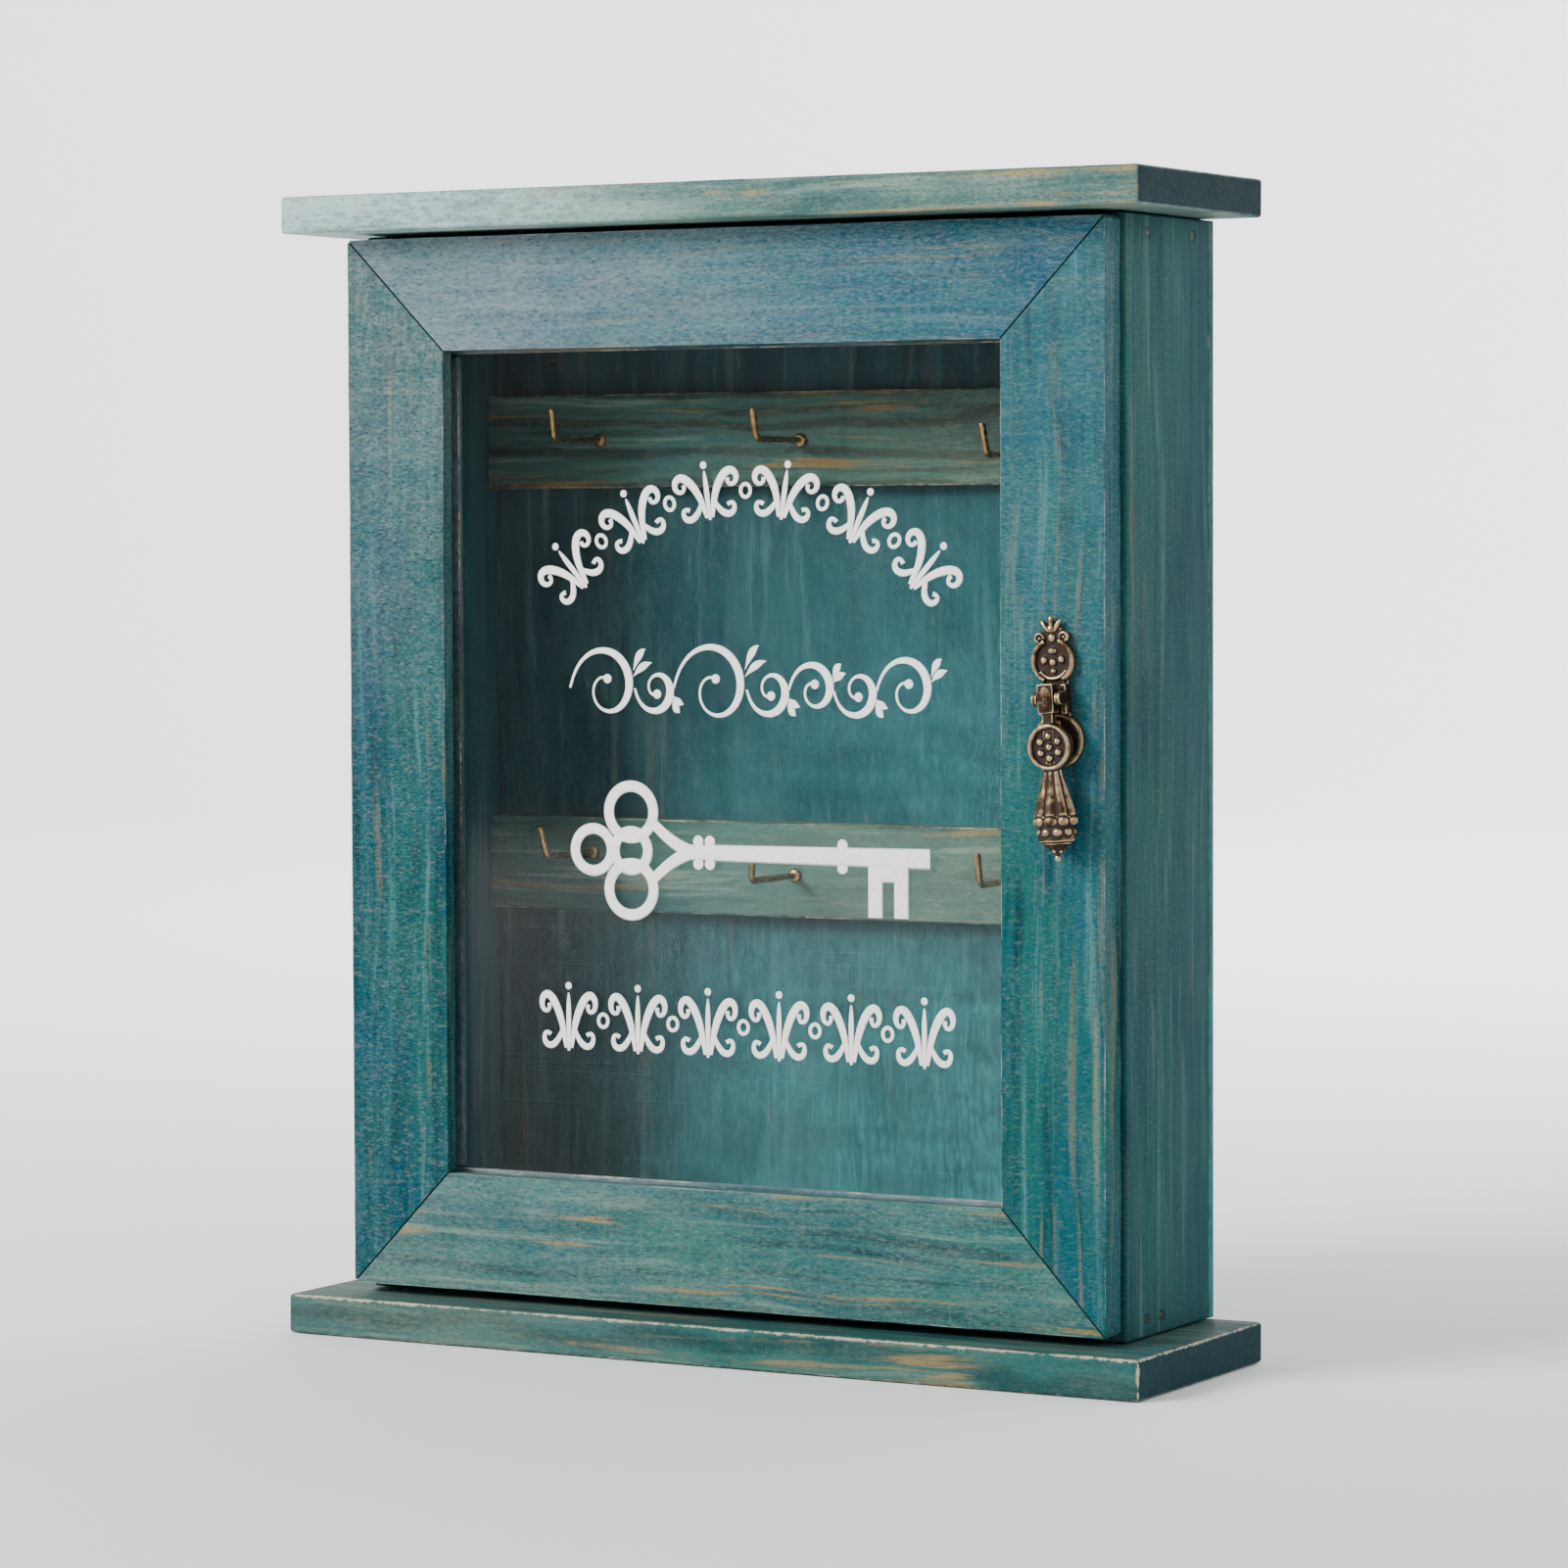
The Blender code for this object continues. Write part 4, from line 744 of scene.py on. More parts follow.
@dataclass
class Timber:
    """One wooden member: a squared or rebated length, its arrises rounded and a little uneven."""

    node: str
    body: str
    grain: Grain
    stain: Stain = field(default_factory=Stain)
    cuts: tuple[EndCut, ...] = ()
    rebate: tuple[float, float, int] | None = None   # lip depth, width, side of the sight edge (-1 or 1)
    round_over: float = 0.7 * MM
    waviness: float = 0.16 * MM
    inlays: tuple[str, ...] = ()
    craters: tuple[str, ...] = ()

    def __post_init__(self) -> None:
        """Take the member's box from the frame."""
        self.low, self.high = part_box(self.node)

    def section(self) -> list[tuple[float, float]]:
        """Corners across the grain, on the two axes that follow the grain's own.

        Returns:
            Pairs of places on those axes.
        """
        first, second = self.cross()
        a, b = (self.low[first], self.high[first]), (self.low[second], self.high[second])
        if self.rebate is None:
            return [(a[0], b[0]), (a[1], b[0]), (a[1], b[1]), (a[0], b[1])]
        lip, width, side = self.rebate
        front, back = self.low.y, self.high.y
        other = 0 if first != 1 else 1
        across = (self.low, self.high)[0 if side < 0 else 1][(first, second)[other]]
        outer = (self.low, self.high)[1 if side < 0 else 0][(first, second)[other]]
        inner = across - side * width
        corners = [(outer, front), (across, front), (across, front + lip), (inner, front + lip),
                   (inner, back), (outer, back)]
        return corners if other == 0 else [(deep, wide) for wide, deep in corners]

    def cross(self) -> tuple[int, int]:
        """The two axes across the grain."""
        return tuple(axis for axis in range(3) if axis != self.grain.axis)

    def blank(self) -> Mesh:
        """Extrude the section along the grain and cut the ends.

        Returns:
            A closed mesh with rings of edges along its length.
        """
        bm = bmesh.new()
        axis, (first, second) = self.grain.axis, self.cross()
        corners = []
        for one, two in self.section():
            corner = Vector((0.0, 0.0, 0.0))
            corner[axis], corner[first], corner[second] = self.low[axis], one, two
            corners.append(bm.verts.new(corner))
        face = bm.faces.new(corners)
        step = Vector((0.0, 0.0, 0.0))
        step[axis] = self.high[axis] - self.low[axis]
        push(bm, [face], step)
        bmesh.ops.recalc_face_normals(bm, faces=bm.faces)
        long_edges = [e for e in bm.edges if abs((e.verts[0].co - e.verts[1].co)[axis]) > step[axis] / 2]
        bmesh.ops.subdivide_edges(bm, edges=long_edges, cuts=max(3, int(step[axis] / LENGTH_STEP)))
        for cut in self.cuts:
            sliced = bmesh.ops.bisect_plane(
                bm, geom=bm.verts[:] + bm.edges[:] + bm.faces[:], plane_co=cut.point, plane_no=cut.normal,
                clear_outer=True, dist=0.01 * MM)
            rim = [e for e in sliced["geom_cut"] if isinstance(e, bmesh.types.BMEdge)]
            bmesh.ops.holes_fill(bm, edges=rim)
        bmesh.ops.recalc_face_normals(bm, faces=bm.faces)
        return bm

    def weather(self, bm: Mesh) -> None:
        """Draw the arrises in unevenly, then round them."""
        bm.normal_update()
        shift = Vector((len(self.node), self.low.x * 100, self.low.z * 100))
        for vert in bm.verts:
            amount = 0.5 + 0.5 * noise.noise(vert.co * 70 + shift)
            amount += 0.4 * noise.noise(vert.co * 260 + shift)
            vert.co -= vert.normal * self.waviness * max(0.0, min(1.0, amount))
        ease(bm, self.round_over)

    def recess(self, bm: Mesh) -> Mesh:
        """Let the ironwork in and dimple the wood round nail heads.

        Args:
            bm: the rounded member.

        Returns:
            The cut member.
        """
        cutter = bmesh.new()
        for name in self.inlays:
            low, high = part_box(name)
            room = mm(INLAY_ROOM, INLAY_ROOM, INLAY_ROOM)
            box_into(cutter, low - room, high + room)
        for name in self.craters:
            low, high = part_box(name)
            side = 1 if (low + high).x > 0 else -1
            face = self.high.x if side > 0 else self.low.x
            centre = Vector((face, (low.y + high.y) / 2, (low.z + high.z) / 2))
            lie = Matrix.Translation(centre) @ Matrix.Rotation(math.radians(90 * side), 4, "Y")
            turned(cutter, [(0, -0.55), (1.35, -0.55), (1.5, -0.2), (2.1, 0.25), (0, 0.25)], 20, lie)
        if not cutter.verts:
            cutter.free()
            return bm
        return carve(bm, cutter)

    def ends(self) -> tuple[EndCut, EndCut]:
        """The planes that end the member, square ones where none is given."""
        if len(self.cuts) == 2:
            return self.cuts
        way = Vector((0.0, 0.0, 0.0))
        way[self.grain.axis] = 1.0
        return EndCut(self.low, -way), EndCut(self.high, way)

    def build(self) -> bpy.types.Object:
        """Make the member and put it in the node's place.

        Returns:
            The piece.
        """
        bm = self.blank()
        self.weather(bm)
        piece = put(f"{self.node}_timber", self.recess(bm), self.material(), self.body,
                    (self.node,))
        even = piece.modifiers.new("even_shading", "WEIGHTED_NORMAL")
        even.keep_sharp = True
        return piece

    def material(self) -> bpy.types.Material:
        """The member's own finish."""
        return wood_material(self.node, self.stain, self.grain, self.low, self.high, self.ends())

    def dress_only(self) -> None:
        """Keep the CAD node and stain it."""
        dress(self.material(), self.node)


# ---------------------------------------------------------------- carcass

@dataclass
class Carcass:
    """Boards, sides, back and hook rails."""

    body: str = "carcass"
    hinge_leaves: tuple[str, ...] = ("hinge_leaf_fixed_upper", "hinge_leaf_fixed_lower")
    # The hook rails ramp lighter towards the right and stay darker at their left ends: painted light and
    # painted shade, as lamp light falls from the upper left.
    rail_stain: Stain = Stain(
        base=(0.023, 0.086, 0.072), deep=(0.006, 0.020, 0.020), blue=(0.012, 0.062, 0.066),
        pale=(0.12, 0.17, 0.13), ochre=(0.19, 0.11, 0.035), bare=(0.34, 0.28, 0.18), sun=(0.15, 0.165, 0.11),
        streaks=1.3, bloom=0.2, rubbed=1.3, figure=1.0, reach=0.8, broken=0.5, fade_and_light_way=(2.2, 0.0, 0.0),
        fade_and_light_level=0.12)
    # The cornice ramps lighter towards the left.
    cornice_stain: Stain = Stain(
        base=(0.055, 0.135, 0.118), deep=(0.012, 0.042, 0.042), blue=(0.034, 0.10, 0.105),
        pale=(0.24, 0.32, 0.26), ochre=(0.26, 0.21, 0.10), bare=(0.26, 0.32, 0.26), sun=(0.34, 0.50, 0.48),
        end=(0.002, 0.018, 0.028), clouds=0.7, streaks=1.0, bloom=0.6, speckle=0.6, rubbed=1.4, reach=0.35,
        favour=(0, -1, -0.6),
        fade_and_light_way=(-8.0, 0.0, 0.0), fade_and_light_level=0.1)
    # The base board ramps lighter towards the left.
    base_stain: Stain = Stain(
        base=(0.019, 0.096, 0.088), deep=(0.004, 0.026, 0.03), blue=(0.010, 0.075, 0.086),
        pale=(0.14, 0.20, 0.155), sun=(0.16, 0.20, 0.15), end=(0.003, 0.028, 0.036), streaks=0.8,
        bloom=0.35, speckle=0.35, figure=0.6,
        reach=0.95, broken=0.3, favour=(0, -0.8, 1.0), fade_and_light_way=(-2.6, 0.0, 0.0), fade_and_light_level=0.02)
    # The sides and the inner boards ramp darker towards the back.
    side_stain: Stain = Stain(
        base=(0.005, 0.075, 0.070), blue=(0.002, 0.050, 0.060), pale=(0.055, 0.14, 0.13),
        sun=(0.004, 0.045, 0.068), clouds=0.9, streaks=1.0, bloom=0.2, speckle=0.4, rubbed=0.2, reach=0.3,
        fade_and_light_way=(0.0, 20.0, 0.0),
        saw=UPRIGHT_SAW)
    # The back panel ramps lighter towards the right and the bottom: painted light where the lamp falls
    # through the door, and painted shade at its upper left.
    back_stain: Stain = Stain(
        base=(0.008, 0.044, 0.050), deep=(0.002, 0.012, 0.016), blue=(0.004, 0.028, 0.038),
        pale=(0.045, 0.115, 0.12), sun=(0.028, 0.165, 0.175), clouds=0.9, streaks=0.7, bloom=0.4,
        speckle=0.3, rubbed=0.15, figure=0.1,
        reach=0.2, fade_and_light_way=(3.0, 0.0, -2.2), fade_and_light_level=0.16)

    def members(self) -> list[Timber]:
        """The boards, the sides, the inner boards and the hook rails."""
        nails = ("top_front", "top_back", "bottom_front", "bottom_back")
        made = [
            Timber("cornice_board", self.body, Grain.ACROSS, self.cornice_stain, round_over=0.9 * MM),
            Timber("base_board", self.body, Grain.ACROSS, self.base_stain, round_over=0.9 * MM),
        ]
        for side, inlays in (("left", self.hinge_leaves), ("right", ("catch_magnet",))):
            made.append(Timber(f"side_panel_{side}", self.body, Grain.UPRIGHT, self.side_stain, inlays=inlays,
                               craters=tuple(f"side_nail_{side}_{place}" for place in nails)))
        for name, stain in (("inner_top_board", self.side_stain), ("inner_bottom_board", self.side_stain),
                            ("hook_rail_upper", self.rail_stain), ("hook_rail_lower", self.rail_stain)):
            made.append(Timber(name, self.body, Grain.ACROSS, stain))
        return made

    def build(self) -> None:
        """Make every wooden piece of the carcass."""
        for timber in self.members():
            timber.build()
        Timber("back_panel", self.body, Grain.UPRIGHT, self.back_stain).dress_only()


# ---------------------------------------------------------------- door

@dataclass
class Door:
    """The mitred frame, its beads and its glass."""

    body: str = "door"
    lip: float = 4.3 * MM
    rebate: float = 4.0 * MM
    joint_gap: float = 0.14 * MM
    bead_stain: Stain = Stain(base=(0.06, 0.085, 0.085), pale=(0.22, 0.22, 0.23), bloom=0.6, reach=0.5)
    inlays: dict[str, tuple[str, ...]] = field(default_factory=lambda: {
        "door_stile_left": ("hinge_leaf_door_upper", "hinge_leaf_door_lower"),
        "door_stile_right": ("catch_strike",)})
    tones: dict[str, Stain] = field(default_factory=lambda: {
        # The top rail ramps lighter towards the left, the bottom rail slightly so, and the stiles lighter
        # towards the top.
        "door_rail_top": Stain(
            base=(0.029, 0.112, 0.130), deep=(0.005, 0.032, 0.058), blue=(0.010, 0.074, 0.118),
            pale=(0.14, 0.21, 0.22), blush=(0.13, 0.13, 0.15), clouds=1.0, bloom=0.4, speckle=0.75,
            rubbed=0.3, fade_and_light_way=(-2.6, 0.0, 0.0), fade_and_light_level=0.10),
        "door_rail_bottom": Stain(
            base=(0.018, 0.112, 0.098), blue=(0.009, 0.085, 0.100), pale=(0.15, 0.24, 0.20), streaks=1.1,
            bloom=0.4, speckle=0.6, rubbed=1.4, fade_and_light_way=(-0.5, 0.0, 0.0), fade_and_light_level=0.05),
        "door_stile_left": Stain(
            base=(0.003, 0.070, 0.068), deep=(0.001, 0.018, 0.026), blue=(0.002, 0.050, 0.088),
            pale=(0.065, 0.165, 0.16), blush=(0.10, 0.11, 0.12), streaks=0.9, speckle=0.9, rubbed=0.4,
            fade_and_light_way=(0.0, 0.0, 1.9), fade_and_light_level=0.01, saw=UPRIGHT_SAW),
        "door_stile_right": Stain(
            base=(0.003, 0.084, 0.080), deep=(0.001, 0.02, 0.03), blue=(0.002, 0.062, 0.105),
            pale=(0.065, 0.175, 0.165), blush=(0.07, 0.11, 0.12), sun=(0.16, 0.27, 0.25), streaks=0.95,
            speckle=0.75, rubbed=0.4, fade_and_light_way=(0.0, 0.0, 1.0), fade_and_light_level=0.03, saw=UPRIGHT_SAW),
    })

    def corners(self) -> tuple[Vector, Vector, Vector, Vector]:
        """Outer low, outer high, sight low and sight high corners.

        Returns:
            The four corners.
        """
        left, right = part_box("door_stile_left"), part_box("door_stile_right")
        bottom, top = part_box("door_rail_bottom"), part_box("door_rail_top")
        return (Vector((left[0].x, 0, bottom[0].z)), Vector((right[1].x, 0, top[1].z)),
                Vector((left[1].x, 0, bottom[1].z)), Vector((right[0].x, 0, top[0].z)))

    def mitre(self, across: int, up: int, keep: Vector) -> EndCut:
        """The cut through one corner.

        Args:
            across: 0 for the left corners, 1 for the right ones.
            up: 0 for the lower corners, 1 for the upper ones.
            keep: a point on the side that stays.

        Returns:
            The plane, facing away from what stays.
        """
        outer_low, outer_high, sight_low, sight_high = self.corners()
        outer = Vector(((outer_low, outer_high)[across].x, 0, (outer_low, outer_high)[up].z))
        inner = Vector(((sight_low, sight_high)[across].x, 0, (sight_low, sight_high)[up].z))
        along = (inner - outer).normalized()
        normal = Vector((along.z, 0, -along.x))
        if normal.dot(keep - outer) > 0:
            normal.negate()
        return EndCut(outer - normal * self.joint_gap / 2, normal)

    def members(self) -> list[Timber]:
        """The two rails and the two stiles."""
        made = []
        for name, tone in self.tones.items():
            stain = replace(tone, joined=True, bare=(0.27, 0.32, 0.28), end=(0.004, 0.03, 0.034))
            low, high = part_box(name)
            middle = (low + high) / 2
            grain = Grain.ACROSS if "rail" in name else Grain.UPRIGHT
            side = -1 if name.endswith(("top", "right")) else 1
            beyond = 1 if side < 0 else 0
            corners = ((0, beyond), (1, beyond)) if grain is Grain.ACROSS else ((beyond, 0), (beyond, 1))
            cuts = tuple(self.mitre(across, up, middle) for across, up in corners)
            made.append(Timber(name, self.body, grain, stain, cuts, (self.lip, self.rebate, side), 0.6 * MM,
                               inlays=self.inlays.get(name, ())))
        return made

    def build(self) -> None:
        """Make the frame and the beads, and dress the pane."""
        for timber in self.members():
            timber.build()
        for place, grain in (("top", Grain.ACROSS), ("bottom", Grain.ACROSS), ("left", Grain.UPRIGHT),
                             ("right", Grain.UPRIGHT)):
            Timber(f"glass_bead_{place}", self.body, grain, self.bead_stain, round_over=0.5 * MM,
                   waviness=0.08 * MM).build()
        dress(door_glass(), "glass_pane")


# ---------------------------------------------------------------- ornament on the glass

Stroke = list[tuple[float, float, float]]


@dataclass
class Ornament:
    """White scrolls and a key drawn on the front of the pane, all in millimetres until they are placed."""

    body: str = "door"
    raised: float = 0.04        # depth of a stroke against its width
    strokes: list[Stroke] = field(default_factory=list)
    rings: list[Stroke] = field(default_factory=list)

    def curl(self, place: Path, start: float, pitch: float, side: int, weight: float) -> None:
        """One scroll of a running vine, with its leaf and its berry.

        Args:
            place: the vine's line.
            start: where along the line the scroll leaves it.
            pitch: the scroll's width.
            side: 1 above the line, -1 below.
            weight: half the stroke's greatest width.
        """
        stroke: Stroke = []
        steps = 26
        for step in range(steps + 1):
            part = step / steps
            angle = math.pi - part * math.tau * 1.28
            radius = pitch * 0.56 * (1 - 0.80 * part ** 0.85)
            along = start + pitch * 0.56 + radius * math.cos(angle)
            above = side * radius * math.sin(angle) * 1.12
            swell = weight * (0.35 + 0.9 * math.sin(math.pi * min(1.0, part * 1.5)) ** 2)
            stroke.append((*place(along, above), swell))
        self.strokes.append(stroke)
        tip = stroke[-1]
        self.berry(tip[0], tip[1], weight * 1.25)
        for reach, lift in ((0.95, 0.62), (0.62, 0.95)):
            leaf: Stroke = []
            for step in range(9):
                part = step / 8
                along = start + pitch * (0.98 + 0.30 * part * reach)
                above = side * pitch * lift * (0.25 + 0.55 * part - 0.25 * part * part)
                leaf.append((*place(along, above), max(0.06, weight * 1.1 * math.sin(math.pi * part) ** 1.3)))
            self.strokes.append(leaf)

    def loop(self, across: float, up: float, radius: float, half: float, steps: int) -> None:
        """A ring of a half width, in steps."""
        self.rings.append([(across + radius * math.cos(a), up + radius * math.sin(a), half)
                           for a in (math.tau * k / steps for k in range(steps))])

    def berry(self, across: float, up: float, radius: float) -> None:
        """A round dot."""
        self.loop(across, up, radius * 0.5, radius * 0.55, 10)

    def vine(self, place: Path, length: float, sizes: Sequence[float], weight: float) -> None:
        """A running vine of alternating scrolls along a line of its own.

        Args:
            place: the line.
            length: the line's length.
            sizes: how wide the scrolls are against each other.
            weight: half the stroke's greatest width.
        """
        start = 0.0
        for index, size in enumerate(sizes):
            pitch = length * size / sum(sizes)
            self.curl(place, start, pitch, 1 if index % 2 == 0 else -1, weight)
            start += pitch

    def palmette(self, place: Path, along: float, width: float, height: float) -> None:
        """Two pairs of scrolls that open from a leaf, with a berry on top.

        Args:
            place: the line.
            along: where on the line the palmette stands.
            width: across its scrolls.
            height: from foot to tip.
        """
        upper = ((0.05, -0.46, 0.45), (0.09, -0.16, 0.95), (0.20, 0.16, 1.2), (0.37, 0.36, 1.1),
                 (0.50, 0.24, 0.85), (0.46, 0.04, 0.6), (0.33, 0.06, 0.5), (0.34, 0.18, 0.65))
        lower = ((0.09, -0.14, 0.4), (0.17, -0.36, 0.9), (0.33, -0.48, 0.95), (0.47, -0.36, 0.7),
                 (0.42, -0.20, 0.5), (0.32, -0.27, 0.6))
        for side in (-1, 1):
            for drawn in (upper, lower):
                self.strokes.append([(*place(along + side * u * width, v * height), r) for u, v, r in drawn])
        leaf = ((0.0, -0.50, 0.4), (0.0, -0.2, 0.7), (0.0, 0.12, 1.1), (0.0, 0.34, 0.2))
        self.strokes.append([(*place(along + u * width, v * height), r) for u, v, r in leaf])
        self.berry(*place(along, 0.44 * height), 0.95)

    def bud(self, place: Path, along: float) -> None:
        """A small ring on a line."""
        self.rings.append([(*place(along + 1.45 * math.cos(a), 1.7 * math.sin(a) - 0.8), 0.5)
                           for a in (math.tau * k / 16 for k in range(16))])

    def band(self, place: Path, length: float, count: int, width: float, height: float) -> None:
        """Palmettes and buds in turn along a line.

        Args:
            place: the line.
            length: the line's length.
            count: how many palmettes it has.
            width: of a palmette.
            height: of a palmette.
        """
        pitch = (length - width) / (count - 1)
        for index in range(count):
            self.palmette(place, width / 2 + index * pitch, width, height)
            if index:
                self.bud(place, width / 2 + (index - 0.5) * pitch)

    def key(self) -> None:
        """An old key lying across the pane, its bow to the left and its bit to the right."""
        line = 129.6
        for across, up, radius, half in ((-27.8, 139.6, 6.7, 1.5), (-27.8, 119.6, 6.7, 1.5),
                                         (-39.2, line, 5.5, 1.45), (-27.8, line, 5.0, 1.45)):
            self.loop(across, up, radius, half, 28)
        for side in (-1, 1):
            self.strokes.append([(-22.4, line + side * 8.4, 1.3), (-19.6, line + side * 5.6, 1.45),
                                 (-15.6, line + side * 2.0, 1.6), (-10.0, line, 1.9)])
            for across in (-7.8, -4.4, 34.3):
                self.berry(across, line + side * 2.9, 1.5)
        self.strokes.append([(-14.0, line, 2.0), (0.0, line, 2.15), (30.0, line, 2.4), (59.2, line, 2.6)])
        for across in (43.7, 51.1):
            self.strokes.append([(across, line, 2.1), (across, 120.0, 2.1), (across, 114.5, 2.1)])
        self.strokes.append([(42.5, 125.6, 2.2), (52.2, 125.6, 2.2)])

    def draw(self) -> None:
        """Lay out the arched band, the middle flourish and the lower band."""
        radius, (middle, spring) = 78.6, (6.5, 144.4)
        spread = math.radians(48.5)

        def arched(along: float, above: float) -> Flat:
            """Along an arch."""
            angle, reach = math.pi / 2 + spread - along / radius, radius + above
            return middle + reach * math.cos(angle), spring + reach * math.sin(angle)

        self.band(arched, 2 * spread * radius, 6, 18.5, 15.0)
        self.vine(lambda along, above: (-46.0 + along, 171.5 + above), 106.0,
                  (1.35, 0.8, 1.5, 0.85, 0.9, 0.85, 1.1), 0.95)
        self.band(lambda along, above: (-55.5 + along, 86.0 + above), 121.5, 6, 17.0, 18.0)

    def curve(self, name: str, strokes: list[Stroke], closed: bool) -> Mesh:
        """Sweep strokes as flattened round lines on the pane.

        Args:
            name: the scratch curve's name.
            strokes: (across, up, half width) points of each.
            closed: whether each closes on itself.

        Returns:
            Their mesh, in place.
        """
        data = bpy.data.curves.new(name, "CURVE")
        data.dimensions, data.bevel_depth, data.bevel_resolution = "3D", MM, 2
        data.use_fill_caps = True
        data.resolution_u = 3
        for stroke in strokes:
            spline = data.splines.new("NURBS")
            spline.points.add(len(stroke) - 1)
            spline.order_u = min(4, len(stroke))
            spline.use_endpoint_u = not closed
            spline.use_cyclic_u = closed
            for point, (across, up, half) in zip(spline.points, stroke):
                point.co = (across * MM, 0.0, up * MM, 1.0)
                point.radius = half
        bm = baked(hold(name, data))
        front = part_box("glass_pane")[0].y
        bmesh.ops.scale(bm, vec=(1.0, self.raised, 1.0), verts=bm.verts)
        bmesh.ops.translate(bm, vec=(0.0, front, 0.0), verts=bm.verts)
        bmesh.ops.recalc_face_normals(bm, faces=bm.faces)
        return bm

    def build(self) -> None:
        """Print the bands and the key as two pieces."""
        ink = print_white()
        for name, drawing in (("printed_scrolls", self.draw), ("printed_key", self.key)):
            self.strokes, self.rings = [], []
            drawing()
            bm = self.curve(name, self.strokes, False)
            merge_in(bm, self.curve(name, self.rings, True))
            put(name, bm, ink, self.body)


# ---------------------------------------------------------------- hooks

@dataclass
class Hook:
    """A square-bend brass hook with a collar at the rail."""

    node: str
    across: float
    up: float
    lean: float
    wire: float = 0.9 * MM
    reach: float = 23.4 * MM
    rise: float = 8.2 * MM
    bend: float = 1.8 * MM
    sunk: float = 3.0 * MM

    def build(self) -> bpy.types.Object:
        """Sweep the wire from its end sunk in the rail, round its tip and add the collar.

        Returns:
            The piece.
        """
        bm = bmesh.new()
        start = bmesh.ops.create_circle(bm, segments=20, radius=self.wire, cap_ends=True,
                                        matrix=Matrix.Rotation(math.pi / 2, 4, "X"))
        bmesh.ops.translate(bm, vec=(0, self.sunk, 0), verts=start["verts"])
        end = push(bm, bm.faces[:], Vector((0, -(self.reach - self.bend) - self.sunk, 0)))
        pivot = (0, -(self.reach - self.bend), self.bend)
        whole = end + [e for f in end for e in f.edges] + [v for f in end for v in f.verts]
        turn = bmesh.ops.spin(bm, geom=whole, cent=pivot, axis=(1, 0, 0), angle=-math.pi / 2, steps=10)
        end = [item for item in turn["geom_last"] if isinstance(item, bmesh.types.BMFace)]
        bmesh.ops.delete(bm, geom=[f for f in bm.faces if len(f.verts) > 4 and f not in end
                                   and f.calc_center_median().y < self.sunk - 0.1 * MM], context="FACES_ONLY")
        push(bm, end, Vector((0, 0, self.rise - self.bend)))
        bmesh.ops.remove_doubles(bm, verts=bm.verts, dist=WELD)
        bmesh.ops.recalc_face_normals(bm, faces=bm.faces)
        ease(bm, 0.45 * MM, 4, 60)
        lie = Matrix.Rotation(math.pi / 2, 4, "X")
        collar = ((0, -0.2), (1.7, -0.2), (1.9, 0.15), (1.9, 0.6), (1.6, 0.85), (1.1, 1.15), (0, 1.2))
        turned(bm, collar, 28, lie)
        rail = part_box("hook_rail_upper" if self.up > 180 * MM else "hook_rail_lower")[0].y
        lean = Matrix.Rotation(math.radians(self.lean), 4, "Y")
        place = Matrix.Translation((self.across, rail, self.up)) @ lean
        bmesh.ops.transform(bm, matrix=place, verts=bm.verts)
        return put(f"{self.node}_wire", bm, HOOK_BRASS.material(), "carcass", (self.node,))


HOOKS = tuple(
    Hook(f"key_hook_{number}", across * MM, up * MM, lean) for number, (across, up, lean) in enumerate((
        (-65.0, 236.2, -5.0), (-3.6, 235.6, -8.0), (63.4, 231.0, -10.0),
        (-67.8, 125.6, -16.0), (-5.6, 121.0, 4.0), (61.2, 121.8, -6.0)), 1))


# ---------------------------------------------------------------- pull

